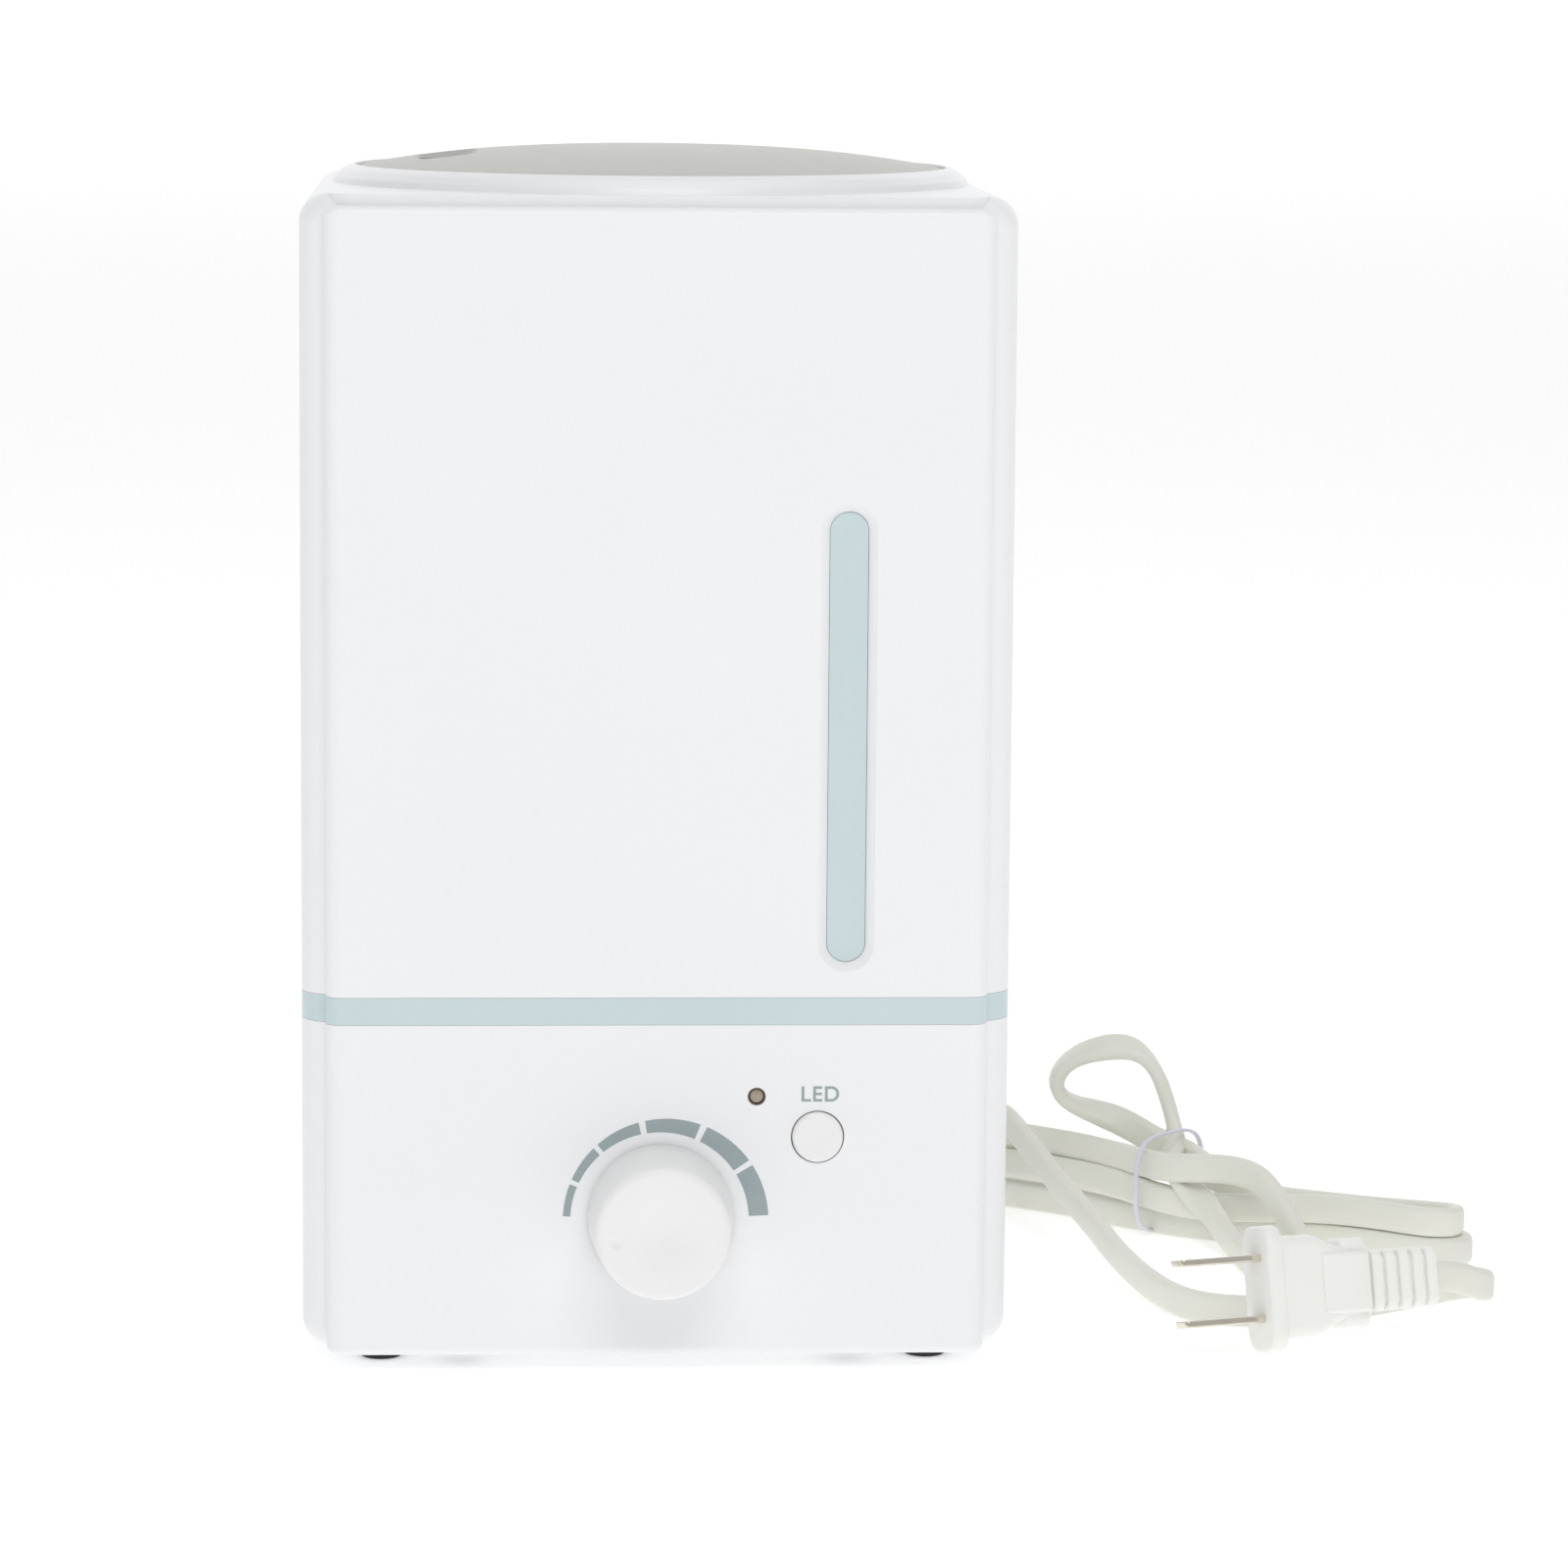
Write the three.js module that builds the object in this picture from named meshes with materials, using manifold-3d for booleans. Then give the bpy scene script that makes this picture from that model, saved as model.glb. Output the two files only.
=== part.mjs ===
// Cool mist humidifier: an ultrasonic base, a lift-off water tank in a square cover, a round
// turning mist lid, and a flat mains lead tied in a hank beside it.
// Millimetres, +Z up, the front faces -Y. The feet stand on z = 0.
import * as THREE from 'three';
import { mergeVertices } from 'three/addons/utils/BufferGeometryUtils.js';
import Module from 'manifold-3d';

const wasm = await Module();
wasm.setup();

// ---------------------------------------------------------------- driving dimensions
const bodyWidth = 145; // across the side walls
const bodyDepth = 145; // front panel to back panel
const panelWidth = 134.8; // the flat front and back panels
const panelProud = 3.8; // how far the panels stand out of the cornered core
const panelEdge = 3.3; // radius down a panel's two long edges
const coreCorner = 8; // plan radius of the core's four corners
const coreFillet = 6; // rounding round the core's top and bottom
const panelFillet = 1.8; // rounding along a panel's top and bottom
const shoulderRise = 2.3; // core top above the panel's top edge
const wall = 2.4; // outer shells
const tankWall = 2;
const seam = 0.3; // clearance between neighbouring pieces

const footHeight = 3.9; // floor to the base's underside
const baseTop = 72.7; // top edge of the base's walls
const bandHeight = 5.1; // blue flange that shows between base and cover
const coverTop = 238.3; // top edge of the front panel

const collarRadius = 68.5; // foot of the round collar
const collarHeight = 3.6; // collar above the shoulder
const lidRadius = 61.8;
const lidRim = 1.6; // thickness of the lid's edge
const lidCrown = 4.6; // how far the lid domes up
const lidGap = 0.5; // dark line round the lid
const outletLength = 34;
const outletWidth = 10;

const knobX = 0.8;
const knobZ = 33.2;
const knobRadius = 15;
const knobFaceRadius = 13.6;
const knobProtrusion = 18;
const knobFlangeGap = 0.6; // knob foot to the front panel
const shaftRadius = 3;
const potRadius = 8.5;
const buttonX = 32.8;
const buttonZ = 49.5;
const buttonRadius = 5.2;
const buttonTravel = 1.2;
const indicatorX = 20.3;
const indicatorZ = 57.9;
const indicatorRadius = 1.7;

const slotX = 38.3; // water level slot, in the cover's front
const slotWidth = 8;
const slotBottom = 85.4;
const slotTop = 177.5;
const slotBevel = 1.75;

const chimneyX = -38; // mist rises here from the transducer to the lid
const chimneyBore = 11.5;
const chimneyWall = 1.8;
const neckX = 24; // filling neck and cap
const neckY = 6;
const neckBore = 20;
const neckLength = 13;
const capRadius = 25.5;
const capDepth = 15;
const valveTravel = 4;

const basinFloor = 44; // top of the basin's floor
const basinFront = -44; // inner front of the tub: the controls stand before it
const floatX = -6;
const floatY = 45;
const floatRadius = 9;
const floatHeight = 8;
const floatTravel = 10;
const transducerRadius = 10;

const fanX = -34;
const fanY = 32;
const impellerRadius = 17;
const impellerHeight = 9;

const footX = 56.5;
const footY = 54.8;
const footRadius = 5.2;
const screwX = 40;
const screwY = 59.5;
const screwRadius = 1.6;

const cordWidth = 6.6; // flat two-core lead, on edge
const cordThick = 3.3;
const cordGap = 0.3;
const reliefLength = 26;
const exitX = -30;
const exitZ = 14;

// ---------------------------------------------------------------- worked-out values
const front = -bodyDepth / 2;
const back = bodyDepth / 2;
const bandBottom = baseTop + seam;
const bandTop = bandBottom + bandHeight;
const coverBottom = bandTop + seam;
const shoulder = coverTop + shoulderRise;
const collarTop = shoulder + collarHeight;
const deckTop = shoulder - 3; // floor of the recess under the lid
const deckBottom = deckTop - wall;
const lidSeat = collarTop - lidRim - 0.6; // ledge that carries the lid
const tankTop = deckBottom - 6;
const capBottom = bandBottom + 0.5 - capDepth;
const innerFront = front + wall; // inner face of the front panels
const boardY = innerFront + 15; // control board stands behind the front panel
const plateTop = footHeight + wall + seam; // bottom cover
const basinUnder = basinFloor - wall;

// ---------------------------------------------------------------- solids and helpers
const smallest = 0.01; // details under this are merged away

function solid(geometry) {
  const bare = geometry.index ? geometry.toNonIndexed() : geometry.clone();
  bare.deleteAttribute('normal');
  bare.deleteAttribute('uv');
  const merged = mergeVertices(bare, 1e-4);
  return new wasm.Manifold(new wasm.Mesh({
    numProp: 3,
    vertProperties: merged.attributes.position.array,
    triVerts: new Uint32Array(merged.index.array),
  }));
}

function geometryOf(manifold) {
  const mesh = manifold.simplify(smallest).getMesh();
  const geometry = new THREE.BufferGeometry();
  geometry.setAttribute('position', new THREE.BufferAttribute(mesh.vertProperties, 3));
  geometry.setIndex(new THREE.BufferAttribute(mesh.triVerts, 1));
  geometry.computeVertexNormals();
  return geometry;
}

// Cylinder or cone standing on z0.
function post(x, y, z0, z1, radius, topRadius = radius, sides = 32) {
  const geometry = new THREE.CylinderGeometry(topRadius, radius, z1 - z0, sides);
  geometry.rotateX(Math.PI / 2);
  geometry.translate(x, y, (z0 + z1) / 2);
  return solid(geometry);
}

// Cylinder lying along Y, from y0 (nearer the front) to y1.
function rod(x, z, y0, y1, radius, frontRadius = radius, sides = 32) {
  const geometry = new THREE.CylinderGeometry(radius, frontRadius, y1 - y0, sides);
  geometry.translate(x, (y0 + y1) / 2, z);
  return solid(geometry);
}

function block(x0, x1, y0, y1, z0, z1) {
  const geometry = new THREE.BoxGeometry(x1 - x0, y1 - y0, z1 - z0);
  geometry.translate((x0 + x1) / 2, (y0 + y1) / 2, (z0 + z1) / 2);
  return solid(geometry);
}

// Solid of revolution about a vertical line; profile is [radius, z] from the axis and back to it.
function turned(x, y, profile, sides = 48) {
  const points = profile.map(([r, z]) => new THREE.Vector2(r, z));
  const geometry = new THREE.LatheGeometry(points, sides);
  geometry.rotateX(Math.PI / 2);
  geometry.translate(x, y, 0);
  return solid(geometry);
}

function roundedRectangle(halfX, halfY, radius) {
  const shape = new THREE.Shape();
  const x = halfX - radius;
  const y = halfY - radius;
  shape.absarc(x, y, radius, 0, Math.PI / 2, false);
  shape.absarc(-x, y, radius, Math.PI / 2, Math.PI, false);
  shape.absarc(-x, -y, radius, Math.PI, 1.5 * Math.PI, false);
  shape.absarc(x, -y, radius, 1.5 * Math.PI, 2 * Math.PI, false);
  return shape;
}

// Upright prism of a rounded rectangle, with its top and bottom edges rounded by fillet.
function prism(halfX, halfY, radius, z0, z1, fillet = 0) {
  const geometry = new THREE.ExtrudeGeometry(roundedRectangle(halfX, halfY, radius), {
    depth: z1 - z0 - 2 * fillet,
    curveSegments: 4,
    bevelEnabled: fillet > 0,
    bevelThickness: fillet,
    bevelSize: fillet,
    bevelOffset: -fillet,
    bevelSegments: 3,
  });
  geometry.translate(0, 0, z0 + fillet);
  return solid(geometry);
}

// The body's stepped outline: a round-cornered core with a panel proud of its front and back.
// inset shrinks it for walls and fits; fillets round its top and bottom edges.
function steppedBody(inset, z0, z1, rounded = false) {
  const coreRise = rounded ? shoulderRise : 0;
  const core = prism(
    bodyWidth / 2 - inset,
    bodyDepth / 2 - panelProud - inset,
    Math.max(coreCorner - inset, 1.5),
    z0,
    z1 + coreRise,
    rounded ? coreFillet : 0,
  );
  const panels = prism(
    panelWidth / 2 - inset,
    bodyDepth / 2 - inset,
    Math.max(panelEdge - inset, 1),
    z0,
    z1,
    rounded ? panelFillet : 0,
  );
  return core.add(panels);
}

// A cut can leave a sliver behind: keep the piece itself.
function largest(manifold) {
  return manifold.decompose().sort((a, b) => b.volume() - a.volume())[0];
}

function above(z) {
  return block(-bodyWidth, bodyWidth, -bodyDepth, bodyDepth, z, z + 2 * coverTop);
}

function below(z) {
  return block(-bodyWidth, bodyWidth, -bodyDepth, bodyDepth, z - 2 * coverTop, z);
}

// Upright slot with round ends, cut along Y; bevel widens its front mouth.
function slotCutter(width, z0, z1, y0, y1, bevel = 0) {
  const shape = new THREE.Shape();
  const r = width / 2;
  shape.absarc(0, z1 - r, r, 0, Math.PI, false);
  shape.absarc(0, z0 + r, r, Math.PI, 2 * Math.PI, false);
  const geometry = new THREE.ExtrudeGeometry(shape, {
    depth: y1 - y0 - bevel,
    curveSegments: 8,
    bevelEnabled: bevel > 0,
    bevelThickness: bevel,
    bevelSize: bevel,
    bevelSegments: 1,
  });
  geometry.rotateX(Math.PI / 2);
  geometry.translate(slotX, y1, 0);
  return solid(geometry);
}

const assembly = new THREE.Group();
// The knob reaches out in front, so the assembly sits back by half its reach: the whole
// object is then centred on the origin.
assembly.position.y = knobProtrusion / 2;

const finishes = {
  whiteShell: { color: '#f0f1f2', roughness: 0.42, metalness: 0 },
  whiteTrim: { color: '#e9eae9', roughness: 0.38, metalness: 0 },
  blueTank: { color: '#c4d4d8', roughness: 0.2, metalness: 0 },
  greyLid: { color: '#c7c8c3', roughness: 0.25, metalness: 0 },
  rubber: { color: '#26272a', roughness: 0.8, metalness: 0 },
  seal: { color: '#d9d4c8', roughness: 0.7, metalness: 0 },
  steel: { color: '#b9bbbd', roughness: 0.35, metalness: 1 },
  aluminium: { color: '#a8abae', roughness: 0.5, metalness: 1 },
  piezo: { color: '#d6c08a', roughness: 0.3, metalness: 1 },
  board: { color: '#2f6b45', roughness: 0.5, metalness: 0 },
  darkPlastic: { color: '#33363a', roughness: 0.55, metalness: 0 },
  lens: { color: '#b1a080', roughness: 0.25, metalness: 0 },
  foam: { color: '#3d4246', roughness: 0.95, metalness: 0 },
  cord: { color: '#dddcd4', roughness: 0.55, metalness: 0 },
  blade: { color: '#c3bfb1', roughness: 0.3, metalness: 1 },
  tie: { color: '#f2f3f6', roughness: 0.4, metalness: 0 },
};

function place(name, manifold, finish, parent = assembly) {
  const material = new THREE.MeshStandardMaterial(finishes[finish]);
  const mesh = new THREE.Mesh(geometryOf(manifold), material);
  mesh.name = name;
  parent.add(mesh);
}

// ---------------------------------------------------------------- tank, cover and lid
function tankCover() {
  const lowest = coverBottom - 2 * coreFillet;
  let cover = steppedBody(0, lowest, coverTop, true).subtract(below(coverBottom));
  const collar = turned(0, 0, [
    [0, deckTop - 1],
    [collarRadius, deckTop - 1],
    [collarRadius, shoulder],
    [collarRadius - 0.6, shoulder + 0.3 * collarHeight],
    [collarRadius - 2.2, shoulder + 0.7 * collarHeight],
    [lidRadius + lidGap + 1.2, collarTop],
    [0, collarTop],
  ], 56);
  cover = cover.add(collar);
  const cavity = steppedBody(wall, coverBottom - 1, deckBottom);
  const recess = turned(0, 0, [
    [0, deckTop],
    [lidRadius - 3.5, deckTop],
    [lidRadius - 3.5, lidSeat],
    [lidRadius + lidGap, lidSeat],
    [lidRadius + lidGap, collarTop + 1],
    [0, collarTop + 1],
  ], 56);
  const chimneyHole = post(chimneyX, 0, deckBottom - 1, deckTop + 1,
    chimneyBore + chimneyWall + seam);
  const bevelStart = front + wall - slotBevel;
  const slot = slotCutter(slotWidth, slotBottom, slotTop, front - 1, innerFront + 1);
  const mouth = slotCutter(slotWidth, slotBottom, slotTop, front, bevelStart + slotBevel, slotBevel);
  return cover.subtract(cavity).subtract(recess).subtract(chimneyHole).subtract(slot)
    .subtract(mouth);
}

function levelWindow() {
  const lens = slotCutter(slotWidth - 2 * 0.15, slotBottom + 0.15, slotTop - 0.15,
    front + slotBevel + 0.2, innerFront + seam + 0.1);
  const flange = slotCutter(slotWidth + 5, slotBottom - 2.5, slotTop + 2.5,
    innerFront + seam, innerFront + seam + 1.2);
  return lens.add(flange);
}

// The tank is three mouldings: a floor with the flange and neck, a shell, and the chimney.
const chimneyRadius = chimneyBore + chimneyWall;

function tankFloor() {
  const flange = steppedBody(0, bandBottom, bandTop).subtract(
    steppedBody(wall, bandBottom - 1, bandTop - tankWall));
  const neckEnd = bandTop - tankWall - neckLength;
  const neck = post(neckX, neckY, neckEnd, bandTop - 0.5, neckBore + tankWall);
  const mouth = post(neckX, neckY, neckEnd - 1, bandTop + 1, neckBore);
  const hole = post(chimneyX, 0, bandBottom, bandTop + 1, chimneyRadius + seam);
  return flange.add(neck).subtract(mouth).subtract(hole);
}

function tankShell() {
  const halfX = bodyWidth / 2 - wall - 4;
  const halfY = bodyDepth / 2 - panelProud - wall - 1;
  const shell = prism(halfX, halfY, 9, bandTop + seam, tankTop);
  const space = prism(halfX - tankWall, halfY - tankWall, 7, bandTop, tankTop - tankWall);
  const hole = post(chimneyX, 0, tankTop - 5, tankTop + 1, chimneyRadius + seam);
  return shell.subtract(space).subtract(hole);
}

function mistChimney() {
  const foot = bandBottom - 6;
  return post(chimneyX, 0, foot, deckTop - 0.4, chimneyRadius)
    .add(post(chimneyX, 0, bandTop + seam, bandTop + seam + 2, chimneyRadius + 2.5))
    .subtract(post(chimneyX, 0, foot - 1, deckTop + 1, chimneyBore));
}

function tankCap() {
  const outside = post(neckX, neckY, capBottom, capBottom + capDepth, capRadius, capRadius, 40);
  const socketRadius = neckBore + tankWall + seam;
  const socket = post(neckX, neckY, capBottom + 3.2, capBottom + capDepth + 1, socketRadius);
  const guide = post(neckX, neckY, capBottom + 2, capBottom + 11, 5.5);
  const guideBore = post(neckX, neckY, capBottom - 1, capBottom + 12, 3.3);
  let cap = outside.subtract(socket).add(guide).subtract(guideBore);
  for (let i = 0; i < 4; i += 1) {
    const angle = (i + 0.5) * Math.PI / 2;
    const x = neckX + 11.5 * Math.cos(angle);
    const y = neckY + 11.5 * Math.sin(angle);
    cap = cap.subtract(post(x, y, capBottom - 1, capBottom + 4, 2.6, 2.6, 16));
  }
  return cap;
}

function capSeal() {
  const neckEnd = bandTop - tankWall - neckLength;
  const z0 = capBottom + 3.2 + 0.2;
  return post(neckX, neckY, z0, neckEnd - 0.2, neckBore + tankWall - 0.2)
    .subtract(post(neckX, neckY, z0 - 1, neckEnd + 1, neckBore - 4));
}

// The plunger stands on the basin's post while the tank is seated, which holds the valve open.
const valveTip = capBottom - 1.2;
const springBottom = capBottom + 11 + 0.3;
const valvePlateZ = springBottom + 9;

function valvePlunger() {
  const stem = post(neckX, neckY, valveTip, valvePlateZ, 2.2, 2.2, 20);
  const head = post(neckX, neckY, valvePlateZ, valvePlateZ + 2, 7, 6.2, 28);
  return stem.add(head);
}

function helixWire(turns, radius, wire, z0, z1) {
  class Helix extends THREE.Curve {
    getPoint(t, target = new THREE.Vector3()) {
      const angle = 2 * Math.PI * turns * t;
      const z = z0 + (z1 - z0) * t;
      return target.set(neckX + radius * Math.cos(angle), neckY + radius * Math.sin(angle), z);
    }
  }
  const section = new THREE.Shape();
  section.absarc(0, 0, wire, 0, 2 * Math.PI, false);
  return solid(new THREE.ExtrudeGeometry(section, {
    steps: turns * 10,
    curveSegments: 3,
    extrudePath: new Helix(),
  }));
}

function mistLid() {
  const rimTop = lidSeat + seam + lidRim;
  const under = lidSeat + seam;
  const steps = 5;
  const dome = [];
  for (let i = 0; i <= steps; i += 1) {
    const r = lidRadius * (1 - i / steps);
    dome.push([r, rimTop + lidCrown * (1 - (r / lidRadius) ** 2.6)]);
  }
  const inside = [];
  for (let i = 0; i <= steps; i += 1) {
    const r = (lidRadius - 6) * (i / steps);
    inside.push([r, rimTop - 1.4 + lidCrown * (1 - (r / lidRadius) ** 2.6)]);
  }
  const skirt = lidRadius - 4.2;
  const lid = turned(0, 0, [
    ...inside,
    [skirt - 1.8, deckTop + 0.8],
    [skirt, deckTop + 0.8],
    [skirt, under],
    [lidRadius, under],
    ...dome,
  ], 56);
  const half = outletLength / 2 - outletWidth / 2;
  const bar = block(chimneyX - 6 - outletWidth / 2, chimneyX - 6 + outletWidth / 2,
    -half, half, under - 1, rimTop + 9);
  const ends = post(chimneyX - 6, half, under - 1, rimTop + 9, outletWidth / 2, outletWidth / 2, 24)
    .add(post(chimneyX - 6, -half, under - 1, rimTop + 9, outletWidth / 2, outletWidth / 2, 24));
  return lid.subtract(bar.add(ends));
}

place('tank_cover', tankCover(), 'whiteShell');
place('level_window', levelWindow(), 'blueTank');
place('tank_floor', tankFloor(), 'blueTank');
place('tank_shell', tankShell(), 'blueTank');
place('mist_chimney', mistChimney(), 'blueTank');
place('mist_lid', mistLid(), 'greyLid');
place('tank_cap', tankCap(), 'whiteTrim');
place('cap_seal', capSeal(), 'seal');
place('valve_plunger', valvePlunger(), 'whiteTrim');
place('valve_spring', helixWire(4, 4.2, 0.45, springBottom + 0.6, valvePlateZ - 0.9), 'steel');

// ---------------------------------------------------------------- base shell and basin
const lip = 8; // width of the base's inward bottom lip
const lipTop = footHeight + 4.5;
const bossRadius = 4;
const bossTop = 22;
const screwPlaces = [
  ['screw_front_left', -screwX, -screwY],
  ['screw_front_right', screwX, -screwY],
  ['screw_back_left', -screwX, screwY],
  ['screw_back_right', screwX, screwY],
];

function baseHousing() {
  const highest = baseTop + 2 * coreFillet;
  let housing = steppedBody(0, footHeight, highest, true).subtract(above(baseTop));
  housing = housing.subtract(steppedBody(wall, lipTop, baseTop + 1));
  housing = housing.subtract(steppedBody(lip, footHeight - 1, lipTop + 1));
  const inside = steppedBody(wall - 0.5, plateTop, basinUnder);
  for (const [, x, y] of screwPlaces) {
    const reach = Math.sign(y) * back;
    const rib = block(x - 1.5, x + 1.5, Math.min(y, reach), Math.max(y, reach), lipTop, bossTop);
    const boss = post(x, y, plateTop, bossTop, bossRadius, bossRadius, 20)
      .add(rib.intersect(inside));
    housing = housing.add(boss).subtract(post(x, y, plateTop - 1, 18, screwRadius + 0.15,
      screwRadius + 0.15, 16));
  }
  const knobHole = rod(knobX, knobZ, front - 1, innerFront + 1, shaftRadius + 1.2);
  const buttonHole = rod(buttonX, buttonZ, front - 1, innerFront + 1, buttonRadius + 0.25);
  const lightHole = rod(indicatorX, indicatorZ, front - 1, innerFront + 1, indicatorRadius + 0.15,
    indicatorRadius + 0.15, 20);
  const cordHole = rod(exitX, exitZ, back - wall - 1, back + 1, 5.3, 5.3, 24);
  housing = housing.subtract(knobHole).subtract(buttonHole).subtract(lightHole)
    .subtract(cordHole);
  for (let i = 0; i < 7; i += 1) {
    const z = 24 + 5 * i;
    housing = housing.subtract(block(14, 54, back - wall - 1, back + 1, z, z + 2));
  }
  return housing;
}

function waterBasin() {
  const deckLow = baseTop - 2.2;
  const deck = steppedBody(wall + seam, deckLow, baseTop - 0.2);
  const tubHalfX = bodyWidth / 2 - wall - 5;
  const tubBack = bodyDepth / 2 - panelProud - wall - 5;
  const centreY = (tubBack + basinFront) / 2;
  const halfY = (tubBack - basinFront) / 2;
  const shift = (manifold) => manifold.translate([0, centreY, 0]);
  const tub = shift(prism(tubHalfX, halfY, 8, basinUnder, deckLow + 0.5));
  const hollow = shift(prism(tubHalfX - wall, halfY - wall, 6, basinFloor, baseTop + 1));
  const tower = block(fanX - 12, fanX + 8, fanY + 4, fanY + 18, basinUnder, 66);
  const towerBore = block(fanX - 10, fanX + 6, fanY + 6, fanY + 16, basinUnder - 1, 68);
  const mistHole = post(chimneyX, 0, basinUnder - 1, basinFloor + 1, transducerRadius + 2);
  const valvePost = post(neckX, neckY, basinFloor - 0.5, valveTip - 0.3, 4, 3, 20);
  const floatPost = post(floatX, floatY, basinFloor - 0.5, 68, 3, 3, 20);
  return deck.add(tub).subtract(hollow).add(tower).subtract(towerBore).subtract(mistHole)
    .add(valvePost).add(floatPost);
}

function bottomCover() {
  let plate = steppedBody(lip + seam, footHeight, footHeight + wall);
  for (const x of [-footX, footX]) {
    for (const y of [-footY, footY]) {
      plate = plate.add(post(x, y, 1.3, footHeight + 0.5, footRadius, footRadius + 0.5, 24));
      plate = plate.subtract(post(x, y, 1.2, 2.2, footRadius - 0.6, footRadius - 0.6, 24));
    }
  }
  for (const [, x, y] of screwPlaces) {
    plate = plate.subtract(post(x, y, 0, 20, screwRadius + 0.4, screwRadius + 0.4, 16));
    plate = plate.subtract(post(x, y, 0, footHeight + 1.1, 3.5, 3.5, 20));
  }
  for (let i = 0; i < 8; i += 1) {
    const y = fanY - 16 + 4.4 * i;
    plate = plate.subtract(block(fanX - 16, fanX + 16, y, y + 2.2, 0, 12));
  }
  return plate;
}

place('base_housing', baseHousing(), 'whiteShell');
place('water_basin', waterBasin(), 'whiteTrim');
place('bottom_cover', bottomCover(), 'whiteShell');
for (const [name, x, y] of [
  ['foot_pad_front_left', -footX, -footY],
  ['foot_pad_front_right', footX, -footY],
  ['foot_pad_back_left', -footX, footY],
  ['foot_pad_back_right', footX, footY],
]) {
  place(name, post(x, y, 0, 1.9, footRadius - 0.9, footRadius - 0.9, 24), 'rubber');
}
for (const [name, x, y] of screwPlaces) {
  const head = post(x, y, footHeight - 0.9, footHeight + 0.8, 3, 3, 20);
  const shank = post(x, y, footHeight, 16, screwRadius - 0.15, screwRadius - 0.15, 12);
  const cross = block(x - 1.6, x + 1.6, y - 0.3, y + 0.3, footHeight - 1, footHeight - 0.1)
    .add(block(x - 0.3, x + 0.3, y - 1.6, y + 1.6, footHeight - 1, footHeight - 0.1));
  place(name, head.add(shank).subtract(cross), 'steel');
}

// ---------------------------------------------------------------- mist maker, float and fan
function ring(x, y, z0, z1, outer, inner, sides = 32) {
  return post(x, y, z0, z1, outer, outer, sides)
    .subtract(post(x, y, z0 - 1, z1 + 1, inner, inner, sides));
}

place('transducer_seal', ring(chimneyX, 0, basinUnder + 0.2, basinFloor - 0.4,
  transducerRadius + 1.7, transducerRadius - 1.8), 'rubber');
place('transducer_disc', post(chimneyX, 0, basinUnder - 1.3, basinUnder - 0.1,
  transducerRadius), 'piezo');
place('transducer_plate', block(chimneyX - 17, chimneyX + 17, -17, 17,
  basinUnder - 3.6, basinUnder - 1.6), 'aluminium');
place('level_float', ring(floatX, floatY, basinFloor + 0.4, basinFloor + 0.4 + floatHeight,
  floatRadius, 3.5), 'seal');
const clipZ = basinFloor + 0.4 + floatHeight + floatTravel + 0.5;
place('float_clip', ring(floatX, floatY, clipZ, clipZ + 1.4, 5.4, 3.1, 20), 'whiteTrim');

const fanFloor = 11;
const fanHeight = 16;

function fanHousing() {
  const half = impellerRadius + 4.5;
  const body = block(fanX - half, fanX + half, fanY - half, fanY + half,
    fanFloor, fanFloor + fanHeight);
  const hollow = post(fanX, fanY, fanFloor + 1.6, fanFloor + fanHeight - 1.6,
    impellerRadius + 2.2, impellerRadius + 2.2, 40);
  const intake = post(fanX, fanY, fanFloor - 1, fanFloor + 3, impellerRadius - 5);
  const outlet = block(fanX - 9, fanX + 5, fanY + 7, fanY + 15,
    fanFloor + 5, fanFloor + fanHeight + 1);
  return body.subtract(hollow).subtract(intake).subtract(outlet);
}

function fanImpeller() {
  const z0 = fanFloor + 3.2;
  const z1 = z0 + impellerHeight;
  let wheel = ring(fanX, fanY, z0, z0 + 1.2, impellerRadius, 6, 36);
  wheel = wheel.add(post(fanX, fanY, z0, z1, 7.2, 6.8, 24));
  const blades = 12;
  for (let i = 0; i < blades; i += 1) {
    const blade = block(9.5, impellerRadius - 0.4, -0.5, 0.5, z0 + 0.2, z1)
      .rotate([0, 0, 360 * i / blades]).translate([fanX, fanY, 0]);
    wheel = wheel.add(blade);
  }
  return wheel;
}

function airDuct() {
  const z0 = fanFloor + fanHeight + seam;
  const z1 = basinUnder - seam;
  const outside = block(fanX - 12, fanX + 8, fanY + 4, fanY + 18, z0, z1);
  const inside = block(fanX - 10, fanX + 6, fanY + 6, fanY + 16, z0 - 1, z1 + 1);
  return outside.subtract(inside);
}

place('fan_housing', fanHousing(), 'darkPlastic');
place('fan_impeller', fanImpeller(), 'darkPlastic');
place('air_duct', airDuct(), 'whiteTrim');
place('intake_filter', block(fanX - 17.5, fanX + 17.5, fanY - 17.5, fanY + 17.5,
  plateTop + 0.2, plateTop + 3.2), 'foam');

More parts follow.
